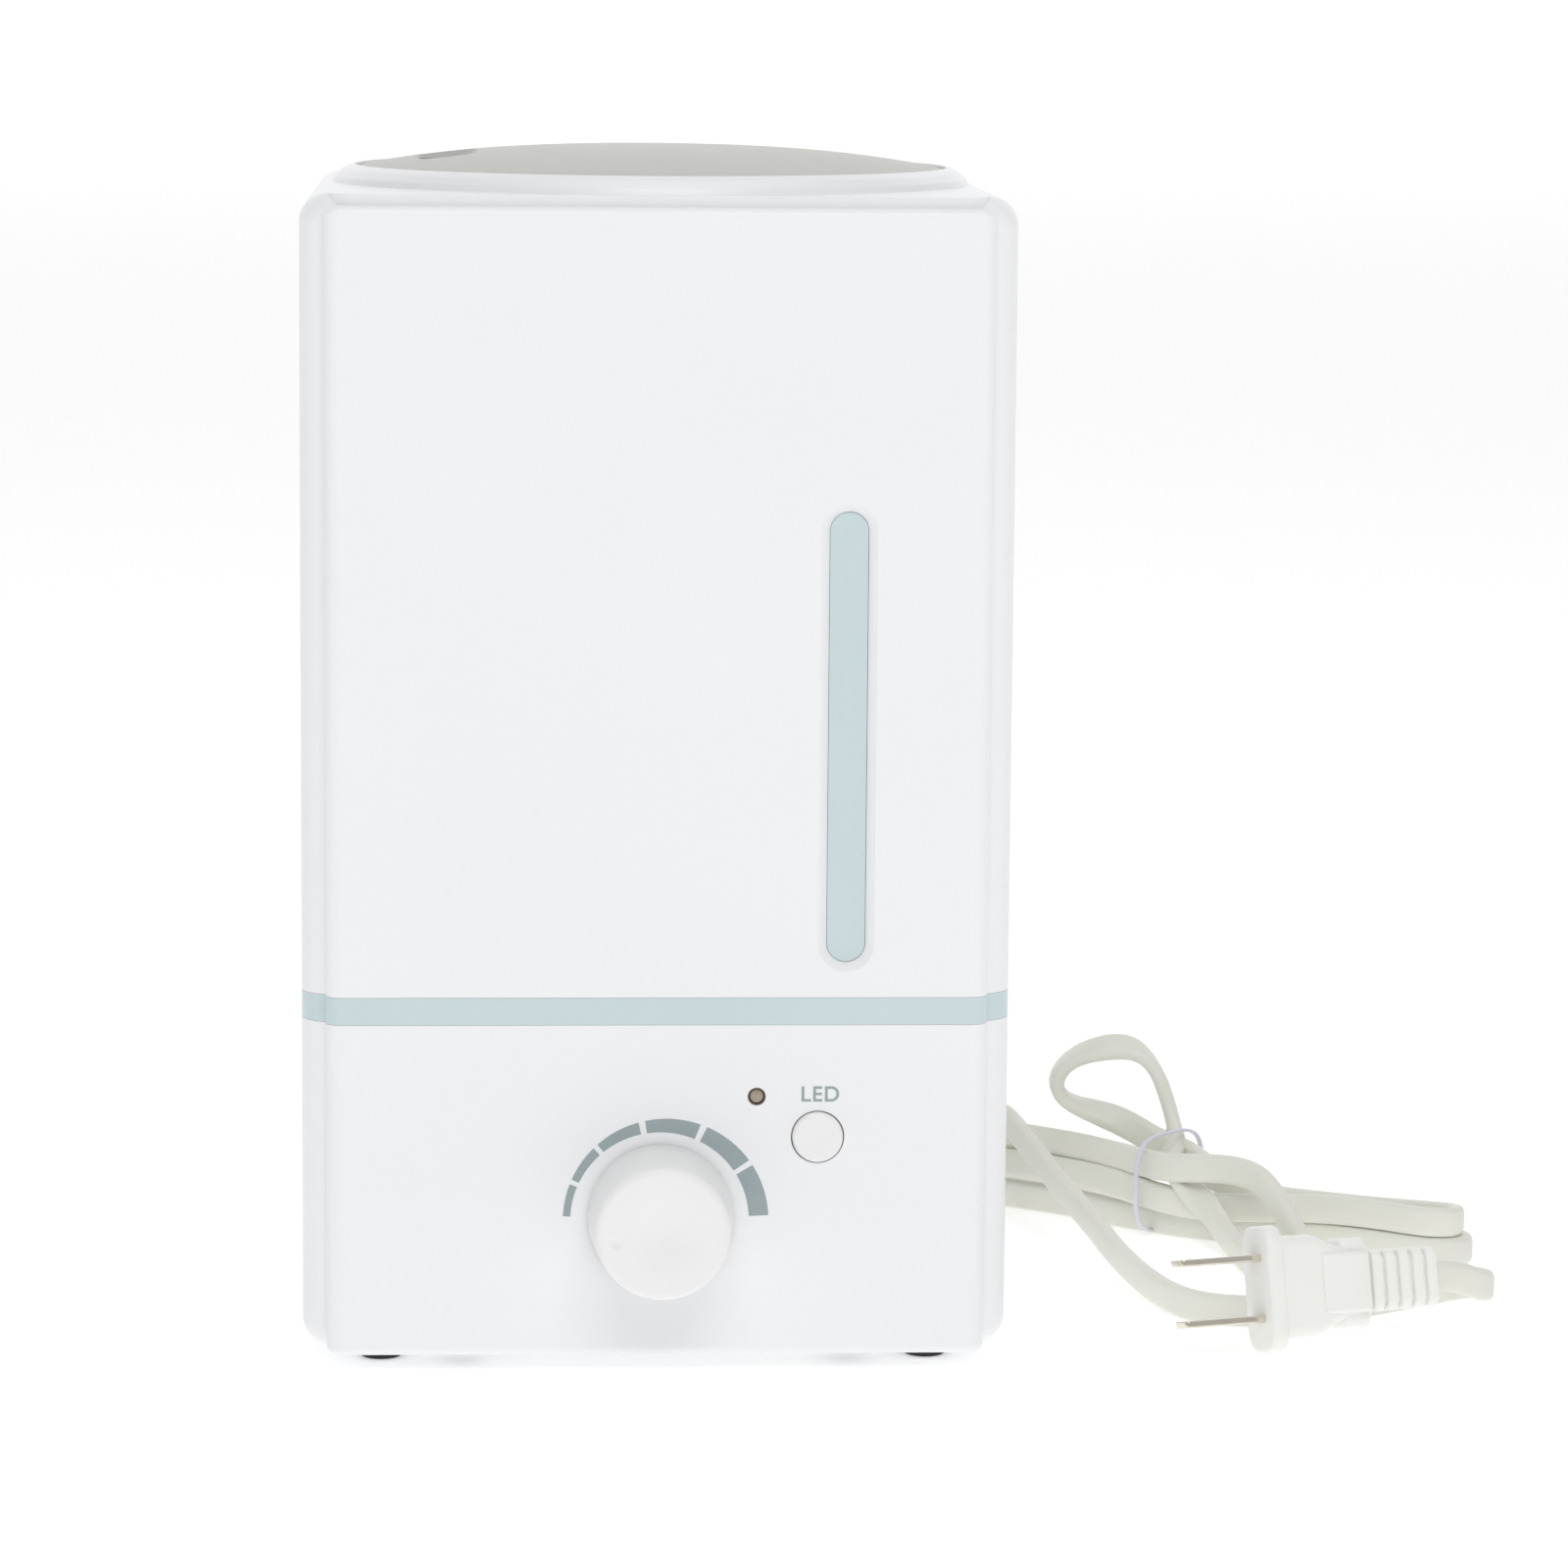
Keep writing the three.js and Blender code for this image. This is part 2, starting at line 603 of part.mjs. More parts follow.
// ---------------------------------------------------------------- controls and electronics
function knob() {
  const y0 = front - knobProtrusion;
  const y1 = front - knobFlangeGap;
  const depth = y1 - y0;
  const profile = new THREE.LatheGeometry([
    [0, 1.1], [3, 1], [6, 0.6], [9, 0], [knobFaceRadius - 1.6, 0], [knobFaceRadius - 0.3, 0.7],
    [knobFaceRadius, 1.8], [knobRadius, depth - 0.6], [knobRadius, depth],
    [knobRadius - 1.8, depth], [knobFaceRadius - 1.8, 3.5], [0, 3.5],
  ].map(([r, d]) => new THREE.Vector2(r, d)), 48);
  profile.translate(0, y0, 0);
  let body = solid(profile).translate([knobX, 0, knobZ]);
  if (body.volume() < 0) throw new Error('knob profile runs the wrong way');
  body = body.add(rod(knobX, knobZ, y0 + 3, y1, shaftRadius + 2.2));
  body = body.subtract(rod(knobX, knobZ, y0 + 5, y1 + 1, shaftRadius + 0.15));
  const mark = new THREE.SphereGeometry(1.5, 12, 8);
  const angle = 191 * Math.PI / 180;
  mark.translate(knobX + 9.1 * Math.cos(angle), y0 - 0.8, knobZ + 9.1 * Math.sin(angle));
  return body.subtract(solid(mark));
}

const potFront = innerFront + 2.4;
place('dial_knob', knob(), 'whiteTrim');
place('pot_shaft', rod(knobX, knobZ, front - knobProtrusion + 5.4, potFront + 3, shaftRadius - 0.05,
  shaftRadius - 0.05, 24), 'steel');
place('pot_body', rod(knobX, knobZ, potFront, boardY - seam, potRadius)
  .subtract(rod(knobX, knobZ, potFront - 1, potFront + 3.4, shaftRadius + 0.3)), 'aluminium');
place('pot_nut', rod(knobX, knobZ, innerFront + 0.2, potFront - 0.2, 5.8, 5.8, 6)
  .subtract(rod(knobX, knobZ, innerFront - 1, potFront + 1, shaftRadius + 0.6)), 'steel');

const buttonFace = front - 1;
const switchFront = innerFront + 6.5;
place('led_button', rod(buttonX, buttonZ, buttonFace, innerFront + 1.6, buttonRadius,
  buttonRadius - 0.3, 40).add(rod(buttonX, buttonZ, innerFront + 1.4, innerFront + 2.8,
  buttonRadius + 1.4)).add(rod(buttonX, buttonZ, innerFront + 2.6,
  switchFront - buttonTravel - 0.3, 1.6)), 'whiteTrim');
place('button_switch', block(buttonX - 3, buttonX + 3, switchFront, boardY - seam,
  buttonZ - 3, buttonZ + 3), 'darkPlastic');
place('indicator_light', rod(indicatorX, indicatorZ, front + 0.6, innerFront + 1,
  indicatorRadius - 0.05, indicatorRadius - 0.05, 20).add(rod(indicatorX, indicatorZ,
  innerFront + 0.6, boardY - seam, 2.1, 2.1, 20)), 'lens');
place('control_board', block(-22, 44, boardY, boardY + 1.6, 18, 64), 'board');

place('glow_board', block(-50, -26, boardY, boardY + 1.6, 52, 66), 'board');
for (const [name, x] of [['glow_led_left', -44], ['glow_led_right', -32]]) {
  place(name, post(x, boardY - 3, 60, 67, 2.5, 1.6, 16).add(block(x - 2.5, x + 2.5,
    boardY - 5.5, boardY - seam, 57, 60.5)), 'lens');
}

place('power_board', block(-4, 56, -20, 44, 12, 13.6), 'board');
place('transformer', block(26, 50, 8, 34, 13.9, 34), 'darkPlastic');
function heatSink() {
  let sink = block(4, 22, -14, -11.5, 13.9, 34);
  for (let i = 0; i < 5; i += 1) {
    sink = sink.add(block(4 + 4 * i, 6 + 4 * i, -12, -4, 13.9, 34));
  }
  return sink;
}
place('heat_sink', heatSink(), 'aluminium');
place('capacitor', post(12, 30, 13.9, 32, 6), 'darkPlastic');

// ---------------------------------------------------------------- mains lead
// Strain relief: a bush that snaps in the back wall and a tapered tail.
function strainRelief() {
  const collar = rod(exitX, exitZ, back + seam, back + 2.4, 7.2, 7.2, 28);
  const neck = rod(exitX, exitZ, back - wall - 3, back + 1, 4.9, 4.9, 24);
  const tail = new THREE.CylinderGeometry(4.1, 6, reliefLength - 2, 28);
  tail.translate(exitX, back + 2 + (reliefLength - 2) / 2, exitZ);
  return collar.add(neck).add(solid(tail));
}
place('strain_relief', strainRelief(), 'cord');

// The hank: two turns on edge, one above the other, bowed a little at the tie.
const hankLeft = new THREE.Vector2(45.1, 126.2);
const hankRight = new THREE.Vector2(178.7, 26.8);
const hankLeftSide = 8;
const hankRightSide = 5;
const hankBow = 6;
const bowAlong = 21; // middle of the bow, along the hank from its own middle
const bowReach = 20;
const tieAlong = 16.7;
const tieAcross = -0.8;
const layer = 6.7;
const hankTop = 2 * layer + 0.1;
const hankMiddle = hankLeft.clone().add(hankRight).multiplyScalar(0.5);
const hankHalf = hankLeft.distanceTo(hankRight) / 2;
const along = hankRight.clone().sub(hankLeft).normalize();
const across = new THREE.Vector2(-along.y, along.x);

// A point s along the hank from its middle and n across it, on its bowed line.
function hankPoint(s, n) {
  const side = n - hankBow * Math.exp(-(((s - bowAlong) / bowReach) ** 2));
  return new THREE.Vector2(
    hankMiddle.x + along.x * s + across.x * side,
    hankMiddle.y + along.y * s + across.y * side,
  );
}

// Half the distance between the two runs, from the left fold to the tighter right one.
function hankSide(s) {
  const share = (s + hankHalf) / (2 * hankHalf);
  return hankLeftSide + (hankRightSide - hankLeftSide) * share;
}

function hankSolid(z0, z1, grow) {
  const edge = cordThick / 2 + grow;
  const points = [];
  const runs = 16;
  const turns = 8;
  for (const end of [1, -1]) {
    for (let i = 0; i < runs; i += 1) {
      const s = end * (-hankHalf + 2 * hankHalf * i / runs);
      points.push(hankPoint(s, -end * (hankSide(s) + edge)));
    }
    const r = hankSide(end * hankHalf) + edge;
    for (let i = 0; i < turns; i += 1) {
      const angle = -Math.PI / 2 + Math.PI * i / turns;
      points.push(hankPoint(end * (hankHalf + r * Math.cos(angle)), end * r * Math.sin(angle)));
    }
  }
  const geometry = new THREE.ExtrudeGeometry(new THREE.Shape(points), {
    depth: z1 - z0,
    bevelEnabled: false,
  });
  geometry.translate(0, 0, z0);
  return solid(geometry);
}

// The tie: a thin loop standing across the bundle.
const tieHalfWidth = 12.2;
const tieHalfHeight = 11.2;
const tieCentreZ = 11.6;
const tieTurn = 45 * Math.PI / 180;

function tieBand(inner, outer, halfDepth) {
  const outline = (grow) => {
    const points = [];
    const count = 40;
    for (let i = 0; i < count; i += 1) {
      const angle = 2 * Math.PI * i / count;
      const c = Math.cos(angle);
      const s = Math.sin(angle);
      const x = Math.sign(c) * Math.abs(c) ** (2 / 3.4) * (tieHalfWidth + grow);
      const y = Math.sign(s) * Math.abs(s) ** (2 / 3.4) * (tieHalfHeight + grow);
      points.push(new THREE.Vector2(x, y));
    }
    return points;
  };
  const shape = new THREE.Shape(outline(outer));
  shape.holes.push(new THREE.Path(outline(inner)));
  const geometry = new THREE.ExtrudeGeometry(shape, { depth: 2 * halfDepth, bevelEnabled: false });
  geometry.translate(0, 0, -halfDepth);
  geometry.rotateX(Math.PI / 2);
  geometry.rotateZ(tieTurn);
  const middle = hankPoint(tieAlong, tieAcross);
  geometry.translate(middle.x, middle.y, tieCentreZ);
  return solid(geometry);
}

place('cord_hank', hankSolid(0.05, hankTop, 0).subtract(tieBand(-0.9, 1, 1)), 'cord');
place('cord_tie', tieBand(-0.5, 0.3, 0.65), 'tie');

// A flat lead lies on edge: its section's long side stands upright, or leans back towards +Y
// where a route point's fourth number says so (0 upright, 1 lying).
class FlatRoute extends THREE.CatmullRomCurve3 {
  constructor(points) {
    super(points.map(([x, y, z]) => new THREE.Vector3(x, y, z)), false, 'centripetal');
    this.lean = new THREE.CatmullRomCurve3(
      points.map(([, , , lean = 0], i) => new THREE.Vector3(i, lean, 0)),
      false,
      'centripetal',
    );
  }

  computeFrenetFrames(segments) {
    const frames = { tangents: [], normals: [], binormals: [] };
    for (let i = 0; i <= segments; i += 1) {
      const tangent = this.getTangentAt(i / segments);
      const lean = this.lean.getPoint(this.getUtoTmapping(i / segments)).y;
      const width = new THREE.Vector3(0, lean, 1 - lean);
      const side = width.cross(tangent).normalize();
      frames.tangents.push(tangent);
      frames.normals.push(side);
      frames.binormals.push(tangent.clone().cross(side));
    }
    return frames;
  }
}

function lead(points, steps) {
  const route = new FlatRoute(points);
  const section = new THREE.Shape();
  const r = cordThick / 2;
  section.absarc(0, cordWidth / 2 - r, r, 0, Math.PI, false);
  section.absarc(0, r - cordWidth / 2, r, Math.PI, 2 * Math.PI, false);
  return solid(new THREE.ExtrudeGeometry(section, {
    steps,
    curveSegments: 3,
    extrudePath: route,
  }));
}

const hankClear = hankSolid(-1, hankTop + cordGap, cordGap);
const at = (s, n, z, lean = 0) => [hankPoint(s, n).x, hankPoint(s, n).y, z, lean];

const leadStart = back + reliefLength + cordGap;
const leadRoute = [
  [exitX, leadStart, exitZ],
  [exitX, leadStart + 4, exitZ],
  [-29, 113, 11.5],
  [-24, 124, 6.6],
  [-14, 133, 3.9],
  [0, 138.5, 3.4],
  [16, 141, 3.4],
  at(-hankHalf - 13, hankLeftSide + 1.5, 3.4),
  at(-hankHalf - 4, hankLeftSide + 0.4, 3.4),
  at(-hankHalf + 4, hankLeftSide, 3.4),
];

const plugHeading = 16 * Math.PI / 180;
const plugRoll = -14 * Math.PI / 180; // its far side dips
const plugX = 126;
const plugY = -56.5;
const plugZ = 13.6;
const plugLength = 40;
const plugEnd = plugLength + cordGap;
const tailEnd = [
  plugX + plugEnd * Math.cos(plugHeading),
  plugY + plugEnd * Math.sin(plugHeading),
  plugZ,
];

const tailRoute = [
  at(47.2, 2.4, 9),
  at(38, 2.3, 10.4),
  at(28.4, 3, 14, 0.1),
  at(19.1, 5.1, 16.6, 0.1),
  [119.4, 74, 18.6],
  [114.6, 77, 21.6, 0.2],
  [108.6, 79.5, 24.4, 0.5],
  [102.6, 81.5, 25.8, 0.8],
  [98.8, 82, 27.6, 1],
  [97.4, 81, 31, 1],
  [99.4, 79.2, 35.8, 0.9],
  [103.6, 78, 38.3, 0.7],
  [109, 77, 39.7, 0.5],
  [114.4, 76, 39.8, 0.6],
  [118.4, 75.4, 36.6, 0.9],
  [120.8, 75, 32, 1],
  [122.6, 74.8, 26.6, 1],
  [124, 71.6, 20.4, 0.8],
  at(16.2, 0.7, 16.4, 0.9),
  at(20.3, -4.9, 14.9, 0.9),
  at(23.9, -9.1, 11.6, 0.4),
  [127.6, 45, 7.8],
  [130, 34, 4.4],
  [131.8, 22, 3.5],
  [134, 9, 3.5],
  [139.4, 2.6, 3.5],
  [145, 5.6, 3.6],
  [146.6, 13.4, 5],
  [144.4, 21.4, 9],
  [142, 28, 13.6],
  [138.4, 35.4, 17.8],
  [133, 42, 18.8],
  at(22.4, -10.9, 17.4),
  at(14.3, -7.5, 16.9),
  at(5.3, -5.9, 16.8),
  at(-8.8, -4, 16.7),
  at(-28.8, -3.2, 16.6),
  at(-48.9, -2.6, 16.6),
  at(-62.9, -1.1, 16.8),
  at(-69.3, -6, 17.9),
  at(-63.7, -11.7, 18.8),
  at(-49.7, -11.2, 20.4),
  [84.6, 82, 20.2],
  [88.8, 70, 18.3],
  [94.2, 48.4, 14.5],
  [99.3, 26.4, 10.5],
  [104.3, 2.8, 6.5],
  [109.4, -14, 4.2],
  [115, -26.4, 3.5],
  [122, -32, 3.4],
  [132, -33, 3.4],
  [144, -29.8, 3.4],
  [156, -25.6, 3.9],
  [166.4, -24.8, 5.6],
  [174, -28.6, 8.2],
  [178, -34.4, 9.6],
  [177, -40.4, 10],
  [173.6, -43.2, 11.8],
  [169.4, -44.1, 13.5],
  tailEnd,
];

place('cord_lead', lead(leadRoute, 14).subtract(hankClear), 'cord');
place('cord_tail', largest(lead(tailRoute, 84).subtract(hankClear)), 'cord');

// The plug lies on its narrow side: its local X runs from the blades' face to the lead.
const plugGroup = new THREE.Group();
plugGroup.position.set(plugX, plugY, plugZ);
plugGroup.rotation.set(plugRoll, 0, plugHeading, 'ZYX');
assembly.add(plugGroup);

const flangeHeight = 26;
const flangeDepth = 14;
const flangeThick = 3.6;
const bladePitch = 12.7;
const bladeWidth = 6.3;
const bladeThick = 1.5;
const bladeLength = 18;

// Side outline of the plug, extruded across it.
function plugPrism(outline, halfDepth) {
  const geometry = new THREE.ExtrudeGeometry(
    new THREE.Shape(outline.map(([x, z]) => new THREE.Vector2(x, z))),
    { depth: 2 * halfDepth, bevelEnabled: false },
  );
  geometry.translate(0, 0, -halfDepth);
  geometry.rotateX(Math.PI / 2);
  return solid(geometry);
}

function plugBody() {
  const corner = 4;
  const flange = new THREE.ExtrudeGeometry(
    roundedRectangle(flangeDepth / 2, flangeHeight / 2, corner),
    { depth: flangeThick, curveSegments: 5, bevelEnabled: false },
  );
  flange.rotateZ(Math.PI / 2);
  flange.rotateY(Math.PI / 2);
  let body = solid(flange);
  body = body.add(plugPrism([
    [flangeThick - 1, -10.6], [11.6, -10.4], [17, -7.8], [24, -7], [24, 7], [17, 7.8],
    [11.6, 10.4], [flangeThick - 1, 10.6],
  ], 5.6));
  body = body.add(plugPrism([
    [17.6, -9.2], [23.4, -9.2], [23.4, 9.2], [17.6, 9.2],
  ], 4.6));
  body = body.add(block(23, plugLength, -2.7, 2.7, -5.4, 5.4));
  const ribs = 5;
  for (let i = 0; i < ribs; i += 1) {
    const x = 25 + 3.15 * i;
    body = body.add(block(x, x + 2.4, -4, 4, -6.5, 6.5));
  }
  for (const side of [-1, 1]) {
    const z = side * bladePitch / 2;
    body = body.subtract(block(-1, 10, -bladeWidth / 2 - 0.2, bladeWidth / 2 + 0.2,
      z - bladeThick / 2 - 0.2, z + bladeThick / 2 + 0.2));
  }
  return body;
}

place('plug_body', plugBody(), 'cord', plugGroup);
for (const [name, side] of [['plug_blade_upper', 1], ['plug_blade_lower', -1]]) {
  const z = side * bladePitch / 2;
  const blade = block(-bladeLength, 9.8, -bladeWidth / 2, bladeWidth / 2,
    z - bladeThick / 2, z + bladeThick / 2);
  const hole = post(-bladeLength + 4.5, 0, z - 2, z + 2, 1.5, 1.5, 16);
  place(name, blade.subtract(hole), 'blade', plugGroup);
}

export default assembly;
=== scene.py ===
# %% [markdown]
# # Cool mist humidifier with a tied mains lead
#
# A square ultrasonic humidifier: a base with a dial, a lift-off tank in a white cover, and a
# round grey lid that the mist leaves through. A flat two-core lead lies beside it, folded in a
# hank and held by a wire tie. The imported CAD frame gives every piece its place; this script
# gives the pieces their fine shapes and finishes.

# %% Load the frame
import math

import bmesh
import bpy
from mathutils import Matrix, Vector


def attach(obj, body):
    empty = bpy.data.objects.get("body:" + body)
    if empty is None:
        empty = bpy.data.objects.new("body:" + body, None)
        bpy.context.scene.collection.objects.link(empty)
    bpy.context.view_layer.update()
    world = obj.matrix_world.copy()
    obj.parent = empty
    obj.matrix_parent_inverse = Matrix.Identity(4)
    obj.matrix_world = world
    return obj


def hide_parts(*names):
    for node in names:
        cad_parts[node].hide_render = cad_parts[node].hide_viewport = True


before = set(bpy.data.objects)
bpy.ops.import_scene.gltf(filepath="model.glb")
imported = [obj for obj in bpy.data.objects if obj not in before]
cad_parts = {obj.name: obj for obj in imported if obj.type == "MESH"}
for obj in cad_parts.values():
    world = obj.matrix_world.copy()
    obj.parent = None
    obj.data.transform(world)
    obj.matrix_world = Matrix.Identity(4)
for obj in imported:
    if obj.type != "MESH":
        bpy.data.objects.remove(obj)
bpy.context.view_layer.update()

# %% [markdown]
# The humidifier's own measures are in millimetres about the middle of its square body. The
# knob stands out in front, so the body sits a little back from the origin. Every shape below
# is built in those millimetres, and `to_metres` brings it to the frame once it is finished.

# %% Measures and units
SET_BACK = 9.0  # middle of the body behind the origin
FRONT = -72.5
BACK = 72.5
WALL = 2.4
FOOT = 3.9
BASE_TOP = 72.7
BAND_BOTTOM = 72.76
BAND_TOP = 78.34
COVER_BOTTOM = 78.4
COVER_TOP = 238.3
SHOULDER = 240.6
COLLAR_TOP = 244.2
DECK_TOP = 237.6
DECK_BOTTOM = 235.2
LID_SEAT = 242.0
LID_RADIUS = 61.8
to_metres = Matrix.Scale(0.001, 4) @ Matrix.Translation((0, SET_BACK, 0))


def place_m(x, y, z):
    """A point of the body, in millimetres, as metres in the frame."""
    return to_metres @ Vector((x, y, z))


print("front panel at", place_m(0, FRONT, 0)[:])

# %% [markdown]
# ## Camera
#
# The camera stands at about the height of the lid, 1.2 m in front and a little to the left,
# and looks down by eight degrees. A long lens keeps the body's uprights nearly parallel.

# %% Camera
camera_data = bpy.data.cameras.new("camera")
camera_data.sensor_width = 36
camera_data.lens = 132.5
camera_data.clip_start = 0.05
camera_data.clip_end = 30
camera = bpy.data.objects.new("camera", camera_data)
bpy.context.scene.collection.objects.link(camera)
right = Vector((0.99862, -0.05184, 0.00792))
forward = Vector((0.05244, 0.98854, -0.14152))
upward = right.cross(forward).normalized()
turn = Matrix((right, upward, -forward)).transposed().to_4x4()
camera.matrix_world = Matrix.Translation((-0.035886, -1.218044, 0.287578)) @ turn
bpy.context.scene.camera = camera
print("camera at", camera.location[:])

# %% [markdown]
# ## The mains lead's route
#
# The lead is flat: 6.6 mm by 3.3 mm, and it lies on edge. It leaves the strain relief at the
# back, runs to the left end of the hank, makes one turn low down, one more on top of it,
# rises through the tie into a standing loop, comes back down through the tie, turns on the
# floor behind the plug, runs along the top of the hank, and ends in the plug in front.
# The fourth number of a point leans the section: 0 is on edge, 1 lies back.

# %% Points of the route
CORD_WIDTH = 6.6
CORD_CORNER = 1.45  # rounding of the section's corners
CORD_THICK = 3.3
hank_left = Vector((45.1, 126.2))
hank_right = Vector((178.7, 26.8))
hank_middle = (hank_left + hank_right) / 2
hank_half = (hank_right - hank_left).length / 2
along = (hank_right - hank_left).normalized()
across = Vector((-along.y, along.x))
LEFT_SIDE = 8.0  # half the distance between the runs at the left fold
RIGHT_SIDE = 5.0
LOW = 3.45  # height of the lower turn's middle
HIGH = 10.1


def at(s, n, z, lean=0.0):
    """A point s along the hank from its middle and n across it, on its bowed line."""
    bow = 6.0 * math.exp(-(((s - 21) / 20) ** 2))
    p = hank_middle + along * s + across * (n - bow)
    return (p.x, p.y, z, lean)


def side(s):
    """Half the distance between the hank's runs, s along it."""
    return LEFT_SIDE + (RIGHT_SIDE - LEFT_SIDE) * (s + hank_half) / (2 * hank_half)


def fold(end, z, start, middle=0.0, r=None):
    """The round end of a turn, from the side that start names."""
    r = r or side(end * hank_half)
    return [
        at(end * (hank_half + r * math.cos(a)), middle + start * r * math.sin(a), z)
        for a in (math.pi / 2, math.pi / 4, 0, -math.pi / 4, -math.pi / 2)
    ]


def run(sign, z, first, last, count):
    """Points along one side of the hank."""
    steps = [first + (last - first) * i / (count - 1) for i in range(count)]
    return [at(s, sign * side(s), z) for s in steps]


PLUG_TURN = math.radians(16)
PLUG_ROLL = math.radians(-14)
PLUG_AT = Vector((126, -56.5, 13.6))
PLUG_LENGTH = 40.0
EXIT = (-30, 98.8, 14)
plug_out = Vector((math.cos(PLUG_TURN), math.sin(PLUG_TURN), 0))
lead_points = [
    (*EXIT,), (-30, 102.8, 14), (-29, 113, 11.5), (-24, 124, 6.6), (-14, 133, 3.9),
    (0, 138.5, 3.4), (16, 141, 3.4), at(-hank_half - 13, LEFT_SIDE + 1.5, 3.4),
    at(-hank_half - 4, LEFT_SIDE + 0.4, 3.4), at(-hank_half + 4, LEFT_SIDE, 3.4),
]
hank_points = [
    *run(1, LOW, -64, 44, 6), at(66, 6.3, LOW), *fold(1, LOW, 1, 0.6, 5.7),
    *run(-1, LOW, 68, -68, 8),
    *fold(-1, 5.4, -1)[:3], at(-81, 7, 7.4), at(-70, 5.6, 9), at(-58, -1.5, 9.9),
    at(-44, -7.4, 10.3, 0.2), at(-25, -7.7, 10.6, 0.3), at(-8, -8.3, 10.6, 0.3),
    at(7, -8.9, 10.5, 0.3), at(17, -9.3, 9.7, 0.2), at(28, -9.2, 8.6), at(40, -8.2, 8.8),
    at(52, -6.8, 9.7),
    at(62, -5.8, HIGH), at(70, -5.3, HIGH), *fold(1, HIGH, -1, -0.9, 4.5)[:4],
    at(hank_half, 3.7, 9.7), at(66, 3.1, 8.9), at(56, 2.6, 8.7),
    at(47.2, 2.4, 8.7), at(38, 2.3, 9.2), at(31, 2.5, 11), at(25, 3.4, 13.8, 0.1),
]
tail_points = [
    at(19.1, 5.1, 16.6, 0.1), (119.4, 74, 18.2), (114.6, 77, 20.8, 0.2),
    (108.6, 79.5, 23.2, 0.5), (102.2, 81.5, 24.9, 0.8), (97.9, 82, 27, 1),
    (96.7, 81, 30.6, 1), (99, 79.2, 35.6, 0.9), (103.6, 78, 38.3, 0.7),
    (109, 77, 39.7, 0.5), (114.4, 76, 39.8, 0.6), (118.4, 75.4, 36.6, 0.9),
    (120.8, 75, 32, 1), (122.6, 74.8, 26.6, 1), (124, 71.6, 20.4, 0.8),
    at(16.2, 0.7, 16.4, 0.9), at(20.7, -4.8, 15.2, 0.9), at(25.4, -8.8, 12.9, 0.7),
    (128.3, 44.8, 8.9, 0.3), (131, 34.6, 5.2), (132.8, 23, 3.7), (134.7, 10, 3.5),
    (139.5, 2.8, 3.5),
    (145, 5.6, 3.6), (146.6, 13.4, 5), (144.4, 21.4, 9), (142, 28, 13.6),
    (138.4, 35.4, 17.4), (133, 42, 18.1), at(22.4, -10.9, 17), at(14.3, -8.1, 16.5, 0.2),
    at(5.3, -6.4, 16.2, 0.35), at(-8.8, -4.8, 16.2, 0.4), at(-28.8, -3.9, 16.4, 0.4),
    at(-48.9, -2.8, 16.7, 0.25), at(-62.9, -1.1, 17, 0.1), at(-69.3, -6, 18),
    at(-63.7, -11.7, 19.6), at(-49.7, -11.4, 22), (84.2, 82.5, 22.6), (88.8, 70, 19.4),
    (94.2, 48.4, 14.5), (99.3, 26.4, 10.5), (104.3, 2.8, 6.5), (109.4, -14, 4.2),
    (115, -26.4, 3.5), (122, -32, 3.4), (132, -33, 3.4), (144, -29.8, 3.4),
    (156, -25.6, 3.9), (166.4, -24.8, 5.6), (174, -28.6, 8.2), (178, -34.4, 9.6),
    (177, -40.4, 10), (173.6, -43.2, 11.8), (169.4, -44.1, 13.5),
    (*(PLUG_AT + plug_out * (PLUG_LENGTH - 2)),),
]
route = lead_points + hank_points + tail_points
print("route points", len(route))

# %% [markdown]
# A centripetal Catmull-Rom curve goes through the points without overshooting where they
# stand close together. It is walked in equal steps, and a few passes of averaging take out
# the small changes of direction that a listed point leaves.

# %% A smooth centreline
STEP = 1.6


def four(p):
    """A route point as a vector with its lean, 0 where none is given."""
    return Vector((*p[:3], p[3] if len(p) > 3 else 0.0))


def spline(points, count=12):
    """Centripetal Catmull-Rom through the points; the lean is carried as a fourth number."""
    p = [four(q) for q in points]
    p = [2 * p[0] - p[1], *p, 2 * p[-1] - p[-2]]
    line = []
    for a, b, c, d in zip(p, p[1:], p[2:], p[3:]):
        t1 = (b - a).length ** 0.5
        t2 = t1 + (c - b).length ** 0.5
        t3 = t2 + (d - c).length ** 0.5
        for i in range(count):
            t = t1 + (t2 - t1) * i / count
            ab = a.lerp(b, t / t1)
            bc = b.lerp(c, (t - t1) / (t2 - t1))
            cd = c.lerp(d, (t - t2) / (t3 - t2))
            line.append(ab.lerp(bc, t / t2).lerp(bc.lerp(cd, (t - t1) / (t3 - t1)),
                                                 (t - t1) / (t2 - t1)))
    return [*line, p[-2]]


def even(line, step):
    """The line again, as points an equal step apart."""
    gaps = [(b - a).to_3d().length for a, b in zip(line, line[1:])]
    total = sum(gaps)
    count = round(total / step)
    out, i, passed = [line[0]], 0, 0.0
    for k in range(1, count):
        goal = total * k / count
        while passed + gaps[i] < goal:
            passed += gaps[i]
            i += 1
        out.append(line[i].lerp(line[i + 1], (goal - passed) / gaps[i]))
    return [*out, line[-1]]


def eased(line, passes):
    """The line after passes of averaging with its neighbours."""
    for _ in range(passes):
        line = [line[0], *[(a + 2 * b + c) / 4 for a, b, c in zip(line, line[1:], line[2:])],
                line[-1]]
    return line


centre = eased(even(spline(route), STEP), 6)
